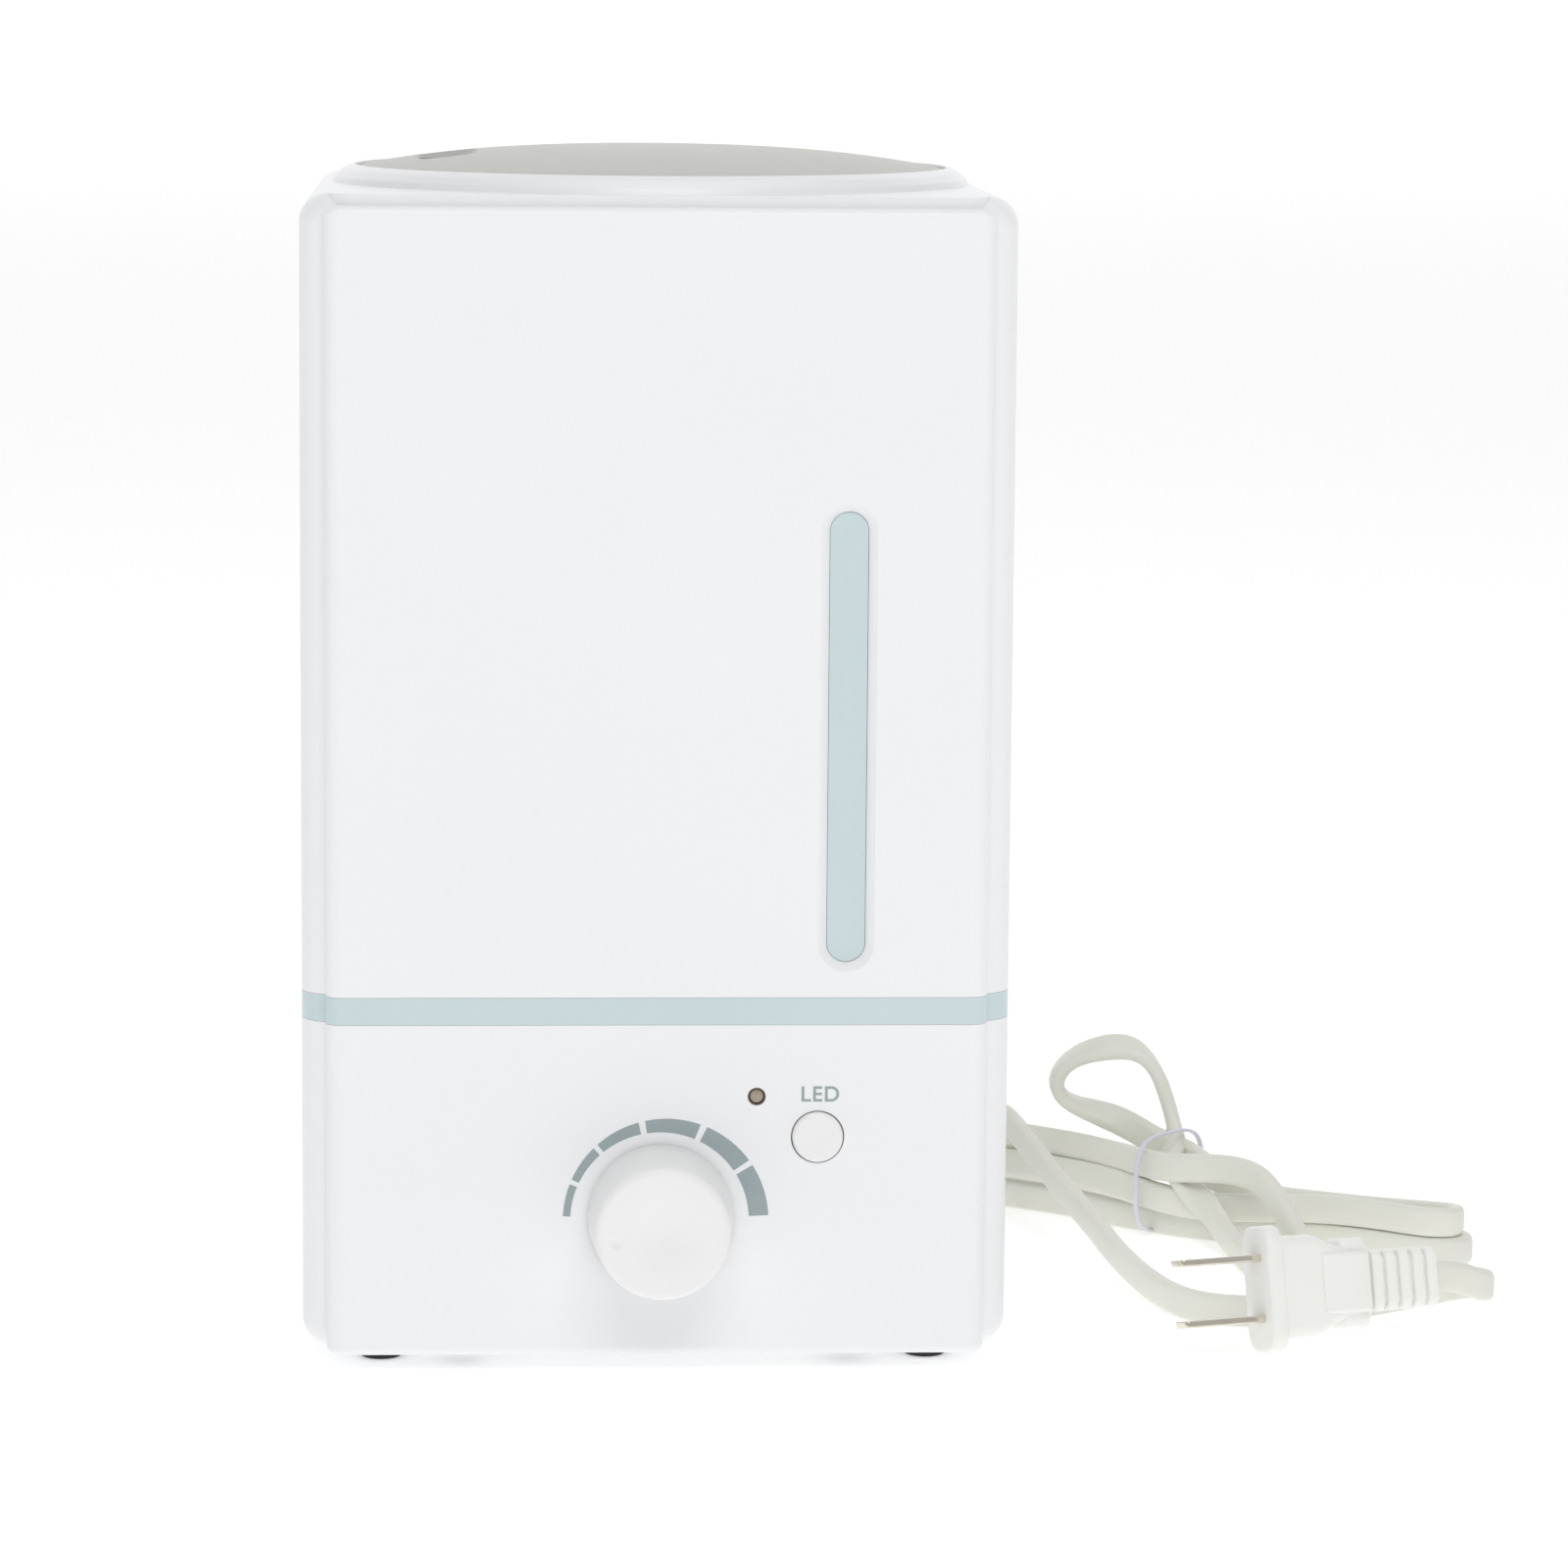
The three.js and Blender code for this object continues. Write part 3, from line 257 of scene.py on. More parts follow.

# %% [markdown]
# The jacket is a loft: one rounded rectangle of the lead's section is made for each point of
# the centreline, turned to it, and neighbouring sections are bridged.

# %% Loft helper
def section_ring(bm, matrix, width, thick, corner=CORD_CORNER, arc=4):
    """Rounded rectangle, width along its local X and thick along Y, as one closed edge loop."""
    verts = []
    for q, (sx, sy) in enumerate(((1, 1), (-1, 1), (-1, -1), (1, -1))):
        for i in range(arc):
            a = math.pi / 2 * (q + i / (arc - 1))
            x = sx * (width / 2 - corner) + corner * math.cos(a)
            y = sy * (thick / 2 - corner) + corner * math.sin(a)
            verts.append(bm.verts.new(matrix @ Vector((x, y, 0))))
    return [bm.edges.new(pair) for pair in zip(verts, verts[1:] + verts[:1])]


def lofted(line, width, thick, corner, arc=4):
    """A closed tube of that section along the line of points with lean."""
    bm = bmesh.new()
    points = [p.to_3d() for p in line]
    last = len(points) - 1
    rings = []
    for i, p in enumerate(line):
        tangent = (points[min(i + 1, last)] - points[max(i - 1, 0)]).normalized()
        upright = Vector((0, p[3], 1 - p[3]))
        flat = upright.cross(tangent).normalized()
        wide = tangent.cross(flat)
        turn = Matrix((wide, -flat, tangent)).transposed().to_4x4()
        rings.append(section_ring(bm, Matrix.Translation(points[i]) @ turn, width, thick,
                                  corner, arc))
    for a, b in zip(rings, rings[1:]):
        bmesh.ops.bridge_loops(bm, edges=a + b)
    bmesh.ops.holes_fill(bm, edges=rings[0] + rings[-1], sides=0)
    return bm


def as_piece(bm, name, body, material, replaces=(), sharp=35, weighted=False,
             matrix=None):
    """Brings a finished bmesh to metres, makes it an object and lets it ride on its body."""
    if matrix is not None:
        bmesh.ops.transform(bm, matrix=matrix, verts=bm.verts)
    bmesh.ops.transform(bm, matrix=to_metres, verts=bm.verts)
    bmesh.ops.remove_doubles(bm, verts=bm.verts, dist=1e-6)
    bmesh.ops.recalc_face_normals(bm, faces=bm.faces)
    mesh = bpy.data.meshes.new(name)
    bm.to_mesh(mesh)
    bm.free()
    mesh.shade_smooth()
    mesh.set_sharp_from_angle(angle=math.radians(sharp))
    piece = bpy.data.objects.new(name, mesh)
    bpy.context.scene.collection.objects.link(piece)
    if weighted:
        piece.modifiers.new("even_shading", "WEIGHTED_NORMAL").keep_sharp = True
    mesh.materials.append(material)
    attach(piece, body)
    if replaces:
        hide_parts(*replaces)
    return piece


print("helpers for lofts and pieces are ready")

# %% [markdown]
# ## Finishes
#
# One function turns a hex colour to linear light, and one adds a shader node with its
# settings, values and links. Each finish below starts from what the real surface is.

# %% Shader helpers
def linear(code):
    """A hex sRGB colour as linear RGBA."""
    parts = [int(code[i:i + 2], 16) / 255 for i in (1, 3, 5)]
    return (*[c / 12.92 if c <= 0.04045 else ((c + 0.055) / 1.055) ** 2.4 for c in parts], 1)


def add(tree, kind, values=None, links=None, **settings):
    """A node with its settings, socket values and incoming links."""
    node = tree.nodes.new(kind)
    for key, value in settings.items():
        setattr(node, key, value)
    for key, value in (values or {}).items():
        node.inputs[key].default_value = value
    for key, source in (links or {}).items():
        tree.links.new(source, node.inputs[key])
    return node


def finish(name, surface, bump=None, mottle=None, grain=None):
    """A Principled material.

    surface gives its sockets. bump is (pattern size in mm, height in mm) of a fine skin.
    mottle is (size in mm, second colour) of a soft drift in colour. grain is (size in mm,
    low, high) of the roughness.
    """
    material = bpy.data.materials.new(name)
    material.use_nodes = True
    tree = material.node_tree
    tree.nodes.clear()
    shader = add(tree, "ShaderNodeBsdfPrincipled", surface)
    add(tree, "ShaderNodeOutputMaterial", links={"Surface": shader.outputs["BSDF"]})
    place = add(tree, "ShaderNodeTexCoord").outputs["Object"]

    def noise(size, detail=3.0):
        return add(tree, "ShaderNodeTexNoise", {"Scale": 1000 / size, "Detail": detail},
                   {"Vector": place}).outputs["Fac"]

    if bump:
        height = add(tree, "ShaderNodeBump", {"Strength": 1.0, "Distance": bump[1] / 1000},
                     {"Height": noise(bump[0])})
        tree.links.new(height.outputs["Normal"], shader.inputs["Normal"])
    if mottle:
        mix = add(tree, "ShaderNodeMix", {6: surface["Base Color"], 7: linear(mottle[1])},
                  {0: noise(mottle[0], 2.0)}, data_type="RGBA")
        tree.links.new(mix.outputs[2], shader.inputs["Base Color"])
    if grain:
        rough = add(tree, "ShaderNodeMapRange", {"To Min": grain[1], "To Max": grain[2]},
                    {"Value": noise(grain[0])})
        tree.links.new(rough.outputs["Result"], shader.inputs["Roughness"])
    return material


print("white is", linear("#f0f1f2")[:3])

# %% [markdown]
# The shells are ABS, injection moulded in a polished but not mirror-bright tool: a clean
# cool white with a soft sheen, and a skin so fine that it only breaks up the highlights.
# The tank is styrene-acrylonitrile tinted pale blue, which looks nearly solid at its edges.
# The lid is the same ABS in light grey. The lead and its plug are soft PVC, slightly yellower
# than the shells and with a waxy sheen.

# %% Visible finishes
white_abs = finish("moulded white ABS", {
    "Base Color": linear("#f4f5f7"), "Roughness": 0.36, "IOR": 1.53,
}, bump=(0.7, 0.004), mottle=(60, "#f1f2f4"), grain=(9, 0.33, 0.4))
trim_abs = finish("moulded warm white ABS", {
    "Base Color": linear("#f3f3f3"), "Roughness": 0.34, "IOR": 1.53,
}, bump=(0.6, 0.004), mottle=(30, "#efefee"), grain=(6, 0.3, 0.38))
blue_san = finish("pale blue tinted SAN", {
    "Base Color": linear("#cedde0"), "Roughness": 0.24, "IOR": 1.57,
}, bump=(2.5, 0.006), mottle=(45, "#c6d6da"), grain=(7, 0.2, 0.3))
grey_abs = finish("satin light grey ABS", {
    "Base Color": linear("#c4c5c0"), "Roughness": 0.42, "IOR": 1.53,
    "Specular IOR Level": 0.18,
}, bump=(0.8, 0.003), mottle=(40, "#bfc0bb"), grain=(8, 0.38, 0.46))
pvc_jacket = finish("soft PVC lead jacket", {
    "Base Color": linear("#e8e8df"), "Roughness": 0.42, "IOR": 1.53,
    "Subsurface Weight": 0.08, "Subsurface Radius": (0.6, 0.6, 0.5), "Subsurface Scale": 0.001,
}, bump=(1.8, 0.02), mottle=(14, "#e0e0d6"), grain=(4, 0.38, 0.5))
pvc_plug = finish("moulded PVC plug", {
    "Base Color": linear("#f7f7f3"), "Roughness": 0.4, "IOR": 1.53,
    "Subsurface Weight": 0.08, "Subsurface Radius": (0.6, 0.6, 0.5), "Subsurface Scale": 0.001,
}, bump=(1.2, 0.012), mottle=(12, "#f2f2ee"), grain=(4, 0.36, 0.46))
nickel = finish("nickel-plated brass", {
    "Base Color": linear("#e9e4d8"), "Metallic": 1.0, "Roughness": 0.16,
}, bump=(0.6, 0.004), mottle=(3, "#dcd5c4"), grain=(2, 0.12, 0.24))
coated_wire = finish("plastic-coated tie wire", {
    "Base Color": linear("#dfdfea"), "Roughness": 0.3, "IOR": 1.5,
}, bump=(1.0, 0.008), mottle=(4, "#d5d5e2"), grain=(3, 0.26, 0.36))
grey_ink = finish("pad-printed grey ink", {
    "Base Color": linear("#9eabad"), "Roughness": 0.55, "IOR": 1.5,
}, bump=(0.3, 0.003), mottle=(5, "#98a5a8"), grain=(2, 0.5, 0.62))
amber_lens = finish("diffusing LED lens", {
    "Base Color": linear("#b8ad98"), "Roughness": 0.2, "IOR": 1.54,
    "Transmission Weight": 0.15, "Coat Weight": 0.4,
}, bump=(0.5, 0.006), mottle=(1.2, "#a29680"), grain=(1, 0.16, 0.28))
# Dark brown for a thin ring in the gap round the indicator lens: painted shade of that gap.
shadow_line = finish("painted gap shade round lens", {
    "Base Color": linear("#6e6156"), "Roughness": 0.5, "IOR": 1.5,
}, bump=(0.4, 0.004), mottle=(1, "#5f5349"), grain=(1, 0.45, 0.6))
black_rubber = finish("moulded black rubber", {
    "Base Color": linear("#2a2b2e"), "Roughness": 0.75, "IOR": 1.52,
}, bump=(0.5, 0.02), mottle=(3, "#222326"), grain=(2, 0.68, 0.85))
print("visible finishes", len(bpy.data.materials))

# %% [markdown]
# Inside are the ordinary materials of a small appliance: zinc-plated steel, cast and drawn
# aluminium, the silvered piezo disc, green circuit boards with copper tracks under their
# lacquer, black nylon, silicone and open-cell foam.

# %% Inner finishes
zinc_steel = finish("zinc-plated steel", {
    "Base Color": linear("#b9bbbd"), "Metallic": 1.0, "Roughness": 0.35,
}, bump=(0.5, 0.006), mottle=(2, "#a6a9ad"), grain=(1.5, 0.28, 0.45))
satin_aluminium = finish("satin aluminium", {
    "Base Color": linear("#b2b5b8"), "Metallic": 1.0, "Roughness": 0.42,
}, bump=(0.4, 0.01), mottle=(4, "#a4a7ab"), grain=(1.2, 0.36, 0.5))
silvered_disc = finish("silvered piezo ceramic", {
    "Base Color": linear("#d8c592"), "Metallic": 1.0, "Roughness": 0.3,
}, bump=(0.8, 0.006), mottle=(5, "#cdb986"), grain=(2, 0.24, 0.36))
circuit_board = finish("lacquered circuit board", {
    "Base Color": linear("#2c6844"), "Roughness": 0.35, "IOR": 1.5, "Coat Weight": 0.5,
}, bump=(1.6, 0.03), mottle=(2.2, "#3f8056"), grain=(2, 0.3, 0.45))
black_nylon = finish("moulded black nylon", {
    "Base Color": linear("#33363a"), "Roughness": 0.55, "IOR": 1.53,
}, bump=(0.5, 0.015), mottle=(8, "#2b2e31"), grain=(3, 0.48, 0.62))
open_foam = finish("open-cell filter foam", {
    "Base Color": linear("#3d4246"), "Roughness": 0.95, "IOR": 1.45,
}, bump=(1.2, 0.5), mottle=(1.5, "#23272a"), grain=(2, 0.9, 1.0))
silicone = finish("white silicone", {
    "Base Color": linear("#d9d4c8"), "Roughness": 0.6, "IOR": 1.42,
    "Subsurface Weight": 0.15, "Subsurface Radius": (1, 0.9, 0.8), "Subsurface Scale": 0.001,
}, bump=(0.8, 0.01), mottle=(5, "#d0cabd"), grain=(2, 0.54, 0.68))
print("all finishes", len(bpy.data.materials))

# %% [markdown]
# ## The lead, its tie, relief and plug
#
# The lead replaces the CAD's solid hank and swept ends with one continuous jacket. Its
# narrow sides are well rounded and its broad faces nearly flat, as a flat two-core flex is.

# %% Lead
jacket = as_piece(lofted(centre, CORD_WIDTH, CORD_THICK, CORD_CORNER), "mains_lead", "base",
                  pvc_jacket, ("cord_lead", "cord_hank", "cord_tail"))
print("lead faces", len(jacket.data.polygons))

# %% [markdown]
# The tie is a loop of thin flat wire in white plastic, standing across the bundle. A
# superellipse gives the squarish loop that a wire takes when it is pulled round a bundle.

# %% Tie
TIE_TURN = math.radians(45)
tie_middle = at(16.7, -0.8, 11.6)
tie_line = []
for i in range(96):
    a = 2 * math.pi * i / 96
    u = math.copysign(abs(math.cos(a)) ** (2 / 3.4) * 12.15, math.cos(a))
    v = math.copysign(abs(math.sin(a)) ** (2 / 3.4) * 11.1, math.sin(a))
    tie_line.append(Vector((tie_middle[0] + u * math.cos(TIE_TURN),
                            tie_middle[1] + u * math.sin(TIE_TURN), 11.6 + v, 0)))


def ring_loft(line, normal, width, thick, corner):
    """A closed loop of flat wire whose width lies along normal."""
    bm = bmesh.new()
    rings = []
    for i, p in enumerate(line):
        tangent = (line[(i + 1) % len(line)] - line[i - 1]).to_3d().normalized()
        out = normal.cross(tangent).normalized()
        turn = Matrix((normal, out, tangent)).transposed().to_4x4()
        rings.append(section_ring(bm, Matrix.Translation(p.to_3d()) @ turn, width, thick,
                                  corner, 3))
    for a, b in zip(rings, rings[1:] + rings[:1]):
        bmesh.ops.bridge_loops(bm, edges=a + b)
    return bm


tie_normal = Vector((math.sin(TIE_TURN), -math.cos(TIE_TURN), 0))
tie = as_piece(ring_loft(tie_line, tie_normal, 1.2, 0.8, 0.35), "wire_tie", "base",
               coated_wire, ("cord_tie",))
print("tie faces", len(tie.data.polygons))

# %% [markdown]
# A turned piece is one profile spun about a line. The helper takes the profile as radius and
# distance along the axis, and the spin closes on itself.

# %% Turning helper
def turned(profile, steps=96, closed=False):
    """Spins a profile of (radius, height) about Z; the ends of an open one lie on the axis."""
    bm = bmesh.new()
    verts = [bm.verts.new((r, 0, z)) for r, z in profile]
    pairs = list(zip(verts, verts[1:])) + ([(verts[-1], verts[0])] if closed else [])
    edges = [bm.edges.new(pair) for pair in pairs]
    bmesh.ops.spin(bm, geom=verts + edges, cent=(0, 0, 0), axis=(0, 0, 1),
                   angle=2 * math.pi, steps=steps, use_merge=True)
    bmesh.ops.remove_doubles(bm, verts=bm.verts, dist=1e-5)
    return bm


def rounded(corner, first, last, radius, steps=5):
    """Points of a small arc that rounds a profile's corner between two straight sides."""
    corner, first, last = Vector(corner), Vector(first), Vector(last)
    a = (first - corner).normalized()
    b = (last - corner).normalized()
    half = a.angle(b) / 2
    reach = radius / math.tan(half)
    middle = corner + (a + b).normalized() * radius / math.sin(half)
    start = corner + a * reach - middle
    end = corner + b * reach - middle
    return [tuple(middle + start.slerp(end, i / steps) * radius) for i in range(steps + 1)]


def soft(profile, radius=0.4, steps=4, closed=False):
    """The same profile with its inner corners rounded."""
    out = []
    last = len(profile) - 1
    for i, p in enumerate(profile):
        r = p[2] if len(p) > 2 else radius
        if r <= 0 or (not closed and i in (0, last)):
            out.append(tuple(p[:2]))
            continue
        before, after = profile[i - 1][:2], profile[(i + 1) % (last + 1)][:2]
        out += rounded(p[:2], before, after, r, steps)
    return out


# A turned piece that faces front: its height points along +Y, into the body.
to_back = Matrix.Rotation(math.radians(-90), 4, "X")
print("a 1 mm corner has", len(rounded((1, 1), (0, 1), (1, 0), 0.5)), "points")

# %% [markdown]
# The strain relief is a tapered bush with grooves cut round it, so that it bends evenly.

# %% Strain relief
relief_profile = [(0, 0.3, 0), (7.2, 0.3, 0.4), (7.2, 2.4, 0.5), (6.2, 3.2, 0.3)]
for i in range(5):
    y = 5.2 + 4.0 * i
    r = 6.0 - 0.075 * (y - 3)
    relief_profile += [(r, y, 0.3), (r - 1.1, y + 0.4, 0.2), (r - 1.15, y + 1.4, 0.2),
                       (r - 0.15, y + 1.8, 0.3)]
relief_profile += [(4.2, 25.2, 0.5), (3.9, 26, 0.3), (0, 26, 0)]
relief_place = Matrix.Translation((-30, BACK, 14)) @ to_back
relief = as_piece(turned(soft(relief_profile), 48), "cord_relief", "base", pvc_plug,
                  ("strain_relief",), matrix=relief_place)
print("relief faces", len(relief.data.polygons))

# %% [markdown]
# The plug is moulded on its lead: a wide flange, a body that narrows to a waist between two
# finger stops, and a ribbed tail. Each part is a loft of rounded rectangles along the plug,
# drawn in the plug's own frame, with X away from the blades. The blades' strip is an outline
# extruded across it, with its edges bevelled.

# %% Strip, joining and shifting helpers
def outline_solid(points, depth, edge, segments=3, corner=0.0):
    """An outline in X and Z, extruded to depth across Y; edge rounds its long edges."""
    bm = bmesh.new()
    face = bm.faces.new([bm.verts.new((x, -depth / 2, z)) for x, z in points])
    grown = bmesh.ops.extrude_face_region(bm, geom=[face])
    verts = [v for v in grown["geom"] if isinstance(v, bmesh.types.BMVert)]
    bmesh.ops.translate(bm, verts=verts, vec=(0, depth, 0))
    bmesh.ops.recalc_face_normals(bm, faces=bm.faces)
    if corner:
        sides = [e for e in bm.edges if abs(e.verts[0].co.y - e.verts[1].co.y) > 1e-6]
        bmesh.ops.bevel(bm, geom=sides, offset=corner, segments=5, profile=0.5,
                        affect="EDGES", material=-1)
    rims = [e for e in bm.edges if abs(e.verts[0].co.y - e.verts[1].co.y) < 1e-6
            and abs(abs(e.verts[0].co.y) - depth / 2) < 1e-6]
    bmesh.ops.bevel(bm, geom=rims, offset=edge, segments=segments, profile=0.5,
                    affect="EDGES", material=-1)
    return bm


def joined(parts):
    """One bmesh of several."""
    whole = bmesh.new()
    for part in parts:
        mesh = bpy.data.meshes.new("part")
        part.to_mesh(mesh)
        part.free()
        whole.from_mesh(mesh)
        bpy.data.meshes.remove(mesh)
    return whole


def moved(bm, x=0.0, y=0.0, z=0.0):
    """The bmesh after a shift."""
    bmesh.ops.translate(bm, verts=bm.verts, vec=(x, y, z))
    return bm


plug_place = (Matrix.Translation(PLUG_AT) @ Matrix.Rotation(PLUG_TURN, 4, "Z")
              @ Matrix.Rotation(PLUG_ROLL, 4, "X"))
print("plug stands at", PLUG_AT[:])

# %% Plug body
def along_plug(stations):
    """A loft along X. stations are (x, half height, half depth, corner)."""
    bm = bmesh.new()
    rings = []
    for x, high, deep, corner in stations:
        turn = Matrix(((0, 0, 1), (0, 1, 0), (1, 0, 0))).to_4x4()
        rings.append(section_ring(bm, Matrix.Translation((x, 0, 0)) @ turn, 2 * high,
                                  2 * deep, corner, 7))
    for a, b in zip(rings, rings[1:]):
        bmesh.ops.bridge_loops(bm, edges=a + b)
    bmesh.ops.holes_fill(bm, edges=rings[0] + rings[-1], sides=0)
    return bm


def pillow(x0, x1, high, deep, corner, edge):
    """A block along the plug whose two ends are rounded over by edge."""
    steps = [(0, 1), (0.12, 0.62), (0.38, 0.25), (1, 0)]
    ends = [(x0 + edge * u, high - edge * v, deep - edge * v, corner) for u, v in steps]
    return along_plug(ends + [(x0 + x1 - x, h, d, c) for x, h, d, c in reversed(ends)])


plug_parts = [
    pillow(0, 3.6, 13, 7, 3.9, 0.7),
    along_plug([(3, 10.7, 5.6, 2.4), (10.4, 10.6, 5.6, 2.4), (11.8, 10.3, 5.55, 2.3),
                (13.2, 9.6, 5.4, 2.2), (15.2, 8.5, 5.2, 2.0), (17, 7.8, 5.0, 1.9),
                (23.8, 7.2, 4.4, 1.8), (24.3, 6.4, 3.8, 1.6)]),
    pillow(17.6, 23.4, 9.3, 4.3, 1.5, 0.8),
    pillow(12.6, 23.2, 6.4, 6.1, 1.0, 0.6),
    along_plug([(22, 5.4, 2.9, 1.4), (40, 5.0, 2.7, 1.3)]),
]
for i in range(5):
    x = 24.8 + 3.15 * i
    plug_parts.append(pillow(x, x + 2.5, 6.5 - 0.05 * i, 4.0 - 0.06 * i, 2.0, 0.6))
plug = as_piece(joined(plug_parts), "mains_plug", "base", pvc_plug,
                ("plug_body",), sharp=40, matrix=plug_place)
print("plug faces", len(plug.data.polygons))

# %% [markdown]
# The blades are stamped brass strip with nickel plating: rounded tips, softened edges and a
# hole near the tip. The hole is cut by a boolean, which leaves the strip one closed solid.

# %% Boolean helper and blades
def cut(bm, cutters, operation="DIFFERENCE"):
    """The bmesh after exact booleans with each cutter."""
    def temporary(source, name):
        mesh = bpy.data.meshes.new(name)
        bmesh.ops.recalc_face_normals(source, faces=source.faces)
        source.to_mesh(mesh)
        source.free()
        thing = bpy.data.objects.new(name, mesh)
        bpy.context.scene.collection.objects.link(thing)
        return thing

    base = temporary(bm, "cut_base")
    tools = [temporary(cutter, "cutter") for cutter in cutters]
    for tool in tools:
        modifier = base.modifiers.new("cut", "BOOLEAN")
        modifier.operation = operation
        modifier.solver = "EXACT"
        modifier.object = tool
    graph = bpy.context.evaluated_depsgraph_get()
    result = bmesh.new()
    result.from_object(base, graph)
    for thing in (base, *tools):
        mesh = thing.data
        bpy.data.objects.remove(thing)
        bpy.data.meshes.remove(mesh)
    return result


def rod(radius, height, segments=48):
    """A cylinder about Z, from 0 up."""
    bm = bmesh.new()
    bmesh.ops.create_cone(bm, cap_ends=True, segments=segments, radius1=radius,
                          radius2=radius, depth=height)
    return moved(bm, z=height / 2)


for label, z in (("upper", 6.35), ("lower", -6.35)):
    strip = outline_solid([(-3.15, -18), (3.15, -18), (3.15, 2), (-3.15, 2)], 1.5, 0.3,
                          corner=0.9)
    bmesh.ops.rotate(strip, verts=strip.verts, cent=(0, 0, 0),
                     matrix=Matrix.Rotation(math.radians(90), 3, "X"))
    bmesh.ops.rotate(strip, verts=strip.verts, cent=(0, 0, 0),
                     matrix=Matrix.Rotation(math.radians(90), 3, "Z"))
    hole = moved(rod(1.5, 6, 24), x=-13.5, z=-3)
    strip = moved(cut(strip, [hole]), z=z)
    as_piece(strip, "blade_" + label, "base", nickel,
                           ("plug_blade_" + label,), matrix=plug_place)

# %% [markdown]
# ## Shells
#
# The body is a square block with rounded uprights, and a slightly narrower panel stands
# 3.8 mm proud of its front and back. Two rounded prisms are united and then hollowed, so the
# step between panel and corner stays crisp. A prism is a cube whose uprights and then rims
# are bevelled.

# %% Prism helpers
def prism(half_x, half_y, corner, z0, z1, top=0.0, bottom=0.0, segments=12):
    """A block with rounded uprights, and fillets of top and bottom round its rims."""
    bm = bmesh.new()
    bmesh.ops.create_cube(bm, size=1)
    bmesh.ops.scale(bm, verts=bm.verts, vec=(2 * half_x, 2 * half_y, z1 - z0))
    moved(bm, z=(z0 + z1) / 2)
    uprights = [e for e in bm.edges if abs(e.verts[0].co.z - e.verts[1].co.z) > 1e-6]
    bmesh.ops.bevel(bm, geom=uprights, offset=corner, segments=segments, profile=0.5,
                    affect="EDGES", material=-1)
    for z, fillet in ((z1, top), (z0, bottom)):
        if fillet:
            rim = [e for e in bm.edges if all(abs(v.co.z - z) < 1e-5 for v in e.verts)]
            bmesh.ops.bevel(bm, geom=rim, offset=fillet, segments=segments, profile=0.5,
                            affect="EDGES", material=-1)
    return bm


def stepped(inset, z0, z1, top=(0.0, 0.0), bottom=(0.0, 0.0), rise=0.0):
    """Core and panel prisms; top and bottom are the fillets of (core, panel)."""
    core = prism(72.5 - inset, 68.7 - inset, max(8 - inset, 1.5), z0, z1 + rise, top[0],
                 bottom[0])
    panel = prism(67.4 - inset, 72.5 - inset, max(3.3 - inset, 1), z0, z1, top[1],
                  bottom[1])
    return core, panel


def slot_solid(x, stations):
    """An upright round-ended slot along Y. stations are (y, width, bottom, top)."""
    bm = bmesh.new()
    loops = []
    for y, width, low, high in stations:
        made = bmesh.ops.create_circle(bm, segments=40, radius=width / 2,
                                       matrix=Matrix.Rotation(math.radians(4.5), 4, "Z"))
        verts = made["verts"]
        bmesh.ops.rotate(bm, verts=verts, cent=(0, 0, 0),
                         matrix=Matrix.Rotation(math.radians(90), 3, "X"))
        upper = [v for v in verts if v.co.z > 0]
        bmesh.ops.translate(bm, verts=upper, vec=(0, 0, high - low - width))
        bmesh.ops.translate(bm, verts=verts, vec=(x, y, low + width / 2))
        loops.append(list({e for v in verts for e in v.link_edges}))
    for a, b in zip(loops, loops[1:]):
        bmesh.ops.bridge_loops(bm, edges=a + b)
    bmesh.ops.holes_fill(bm, edges=loops[0] + loops[-1], sides=0)
    return bm


print("prism helper ready")

# %% Tank cover
cover_core, cover_panel = stepped(0, COVER_BOTTOM, COVER_TOP, top=(6.0, 1.8), rise=2.3)
collar_profile = [(0, 234, 0), (67.4, 234, 0), (67.4, 240.4, 0.4), (66.7, 241.9, 1.5),
                  (65.2, 243.3, 2.2), (63.4, COLLAR_TOP, 0.8), (0, COLLAR_TOP, 0)]
collar = turned(soft(collar_profile), 128)
shoulder = prism(66.4, 68.6, 5, 232, SHOULDER - 0.08, top=1.5)
cover = cut(cover_core, [cover_panel, shoulder, collar], "UNION")
cavity_core, cavity_panel = stepped(WALL, COVER_BOTTOM - 1, DECK_BOTTOM)
recess = turned([(0, DECK_TOP), (58.3, DECK_TOP), (58.3, LID_SEAT), (62.3, LID_SEAT),
                 (62.3, COLLAR_TOP - 0.5), (62.7, COLLAR_TOP + 1), (0, COLLAR_TOP + 1)], 128)
chimney_hole = moved(rod(13.6, 6), x=-38, z=233.5)
slot_bevel = slot_solid(38.3, [
    (FRONT - 1, 12.1, 83.35, 179.55), (FRONT, 11.5, 83.65, 179.25),
    (FRONT + 0.5, 10.2, 84.3, 178.6), (FRONT + 1.1, 9.0, 84.9, 178),
    (FRONT + 1.75, 8.0, 85.4, 177.5), (FRONT + 3.5, 8.0, 85.4, 177.5),
])
cover = cut(cover, [cavity_core, cavity_panel, recess, chimney_hole, slot_bevel])
cover_piece = as_piece(cover, "cover_shell", "tank", white_abs,
                            ("tank_cover",), sharp=30, weighted=True)
print("cover faces", len(cover_piece.data.polygons))

# %% [markdown]
# The level window is a strip of the tank's plastic that sits in the slot, its face a little
# behind the panel and softly rounded at the edge.

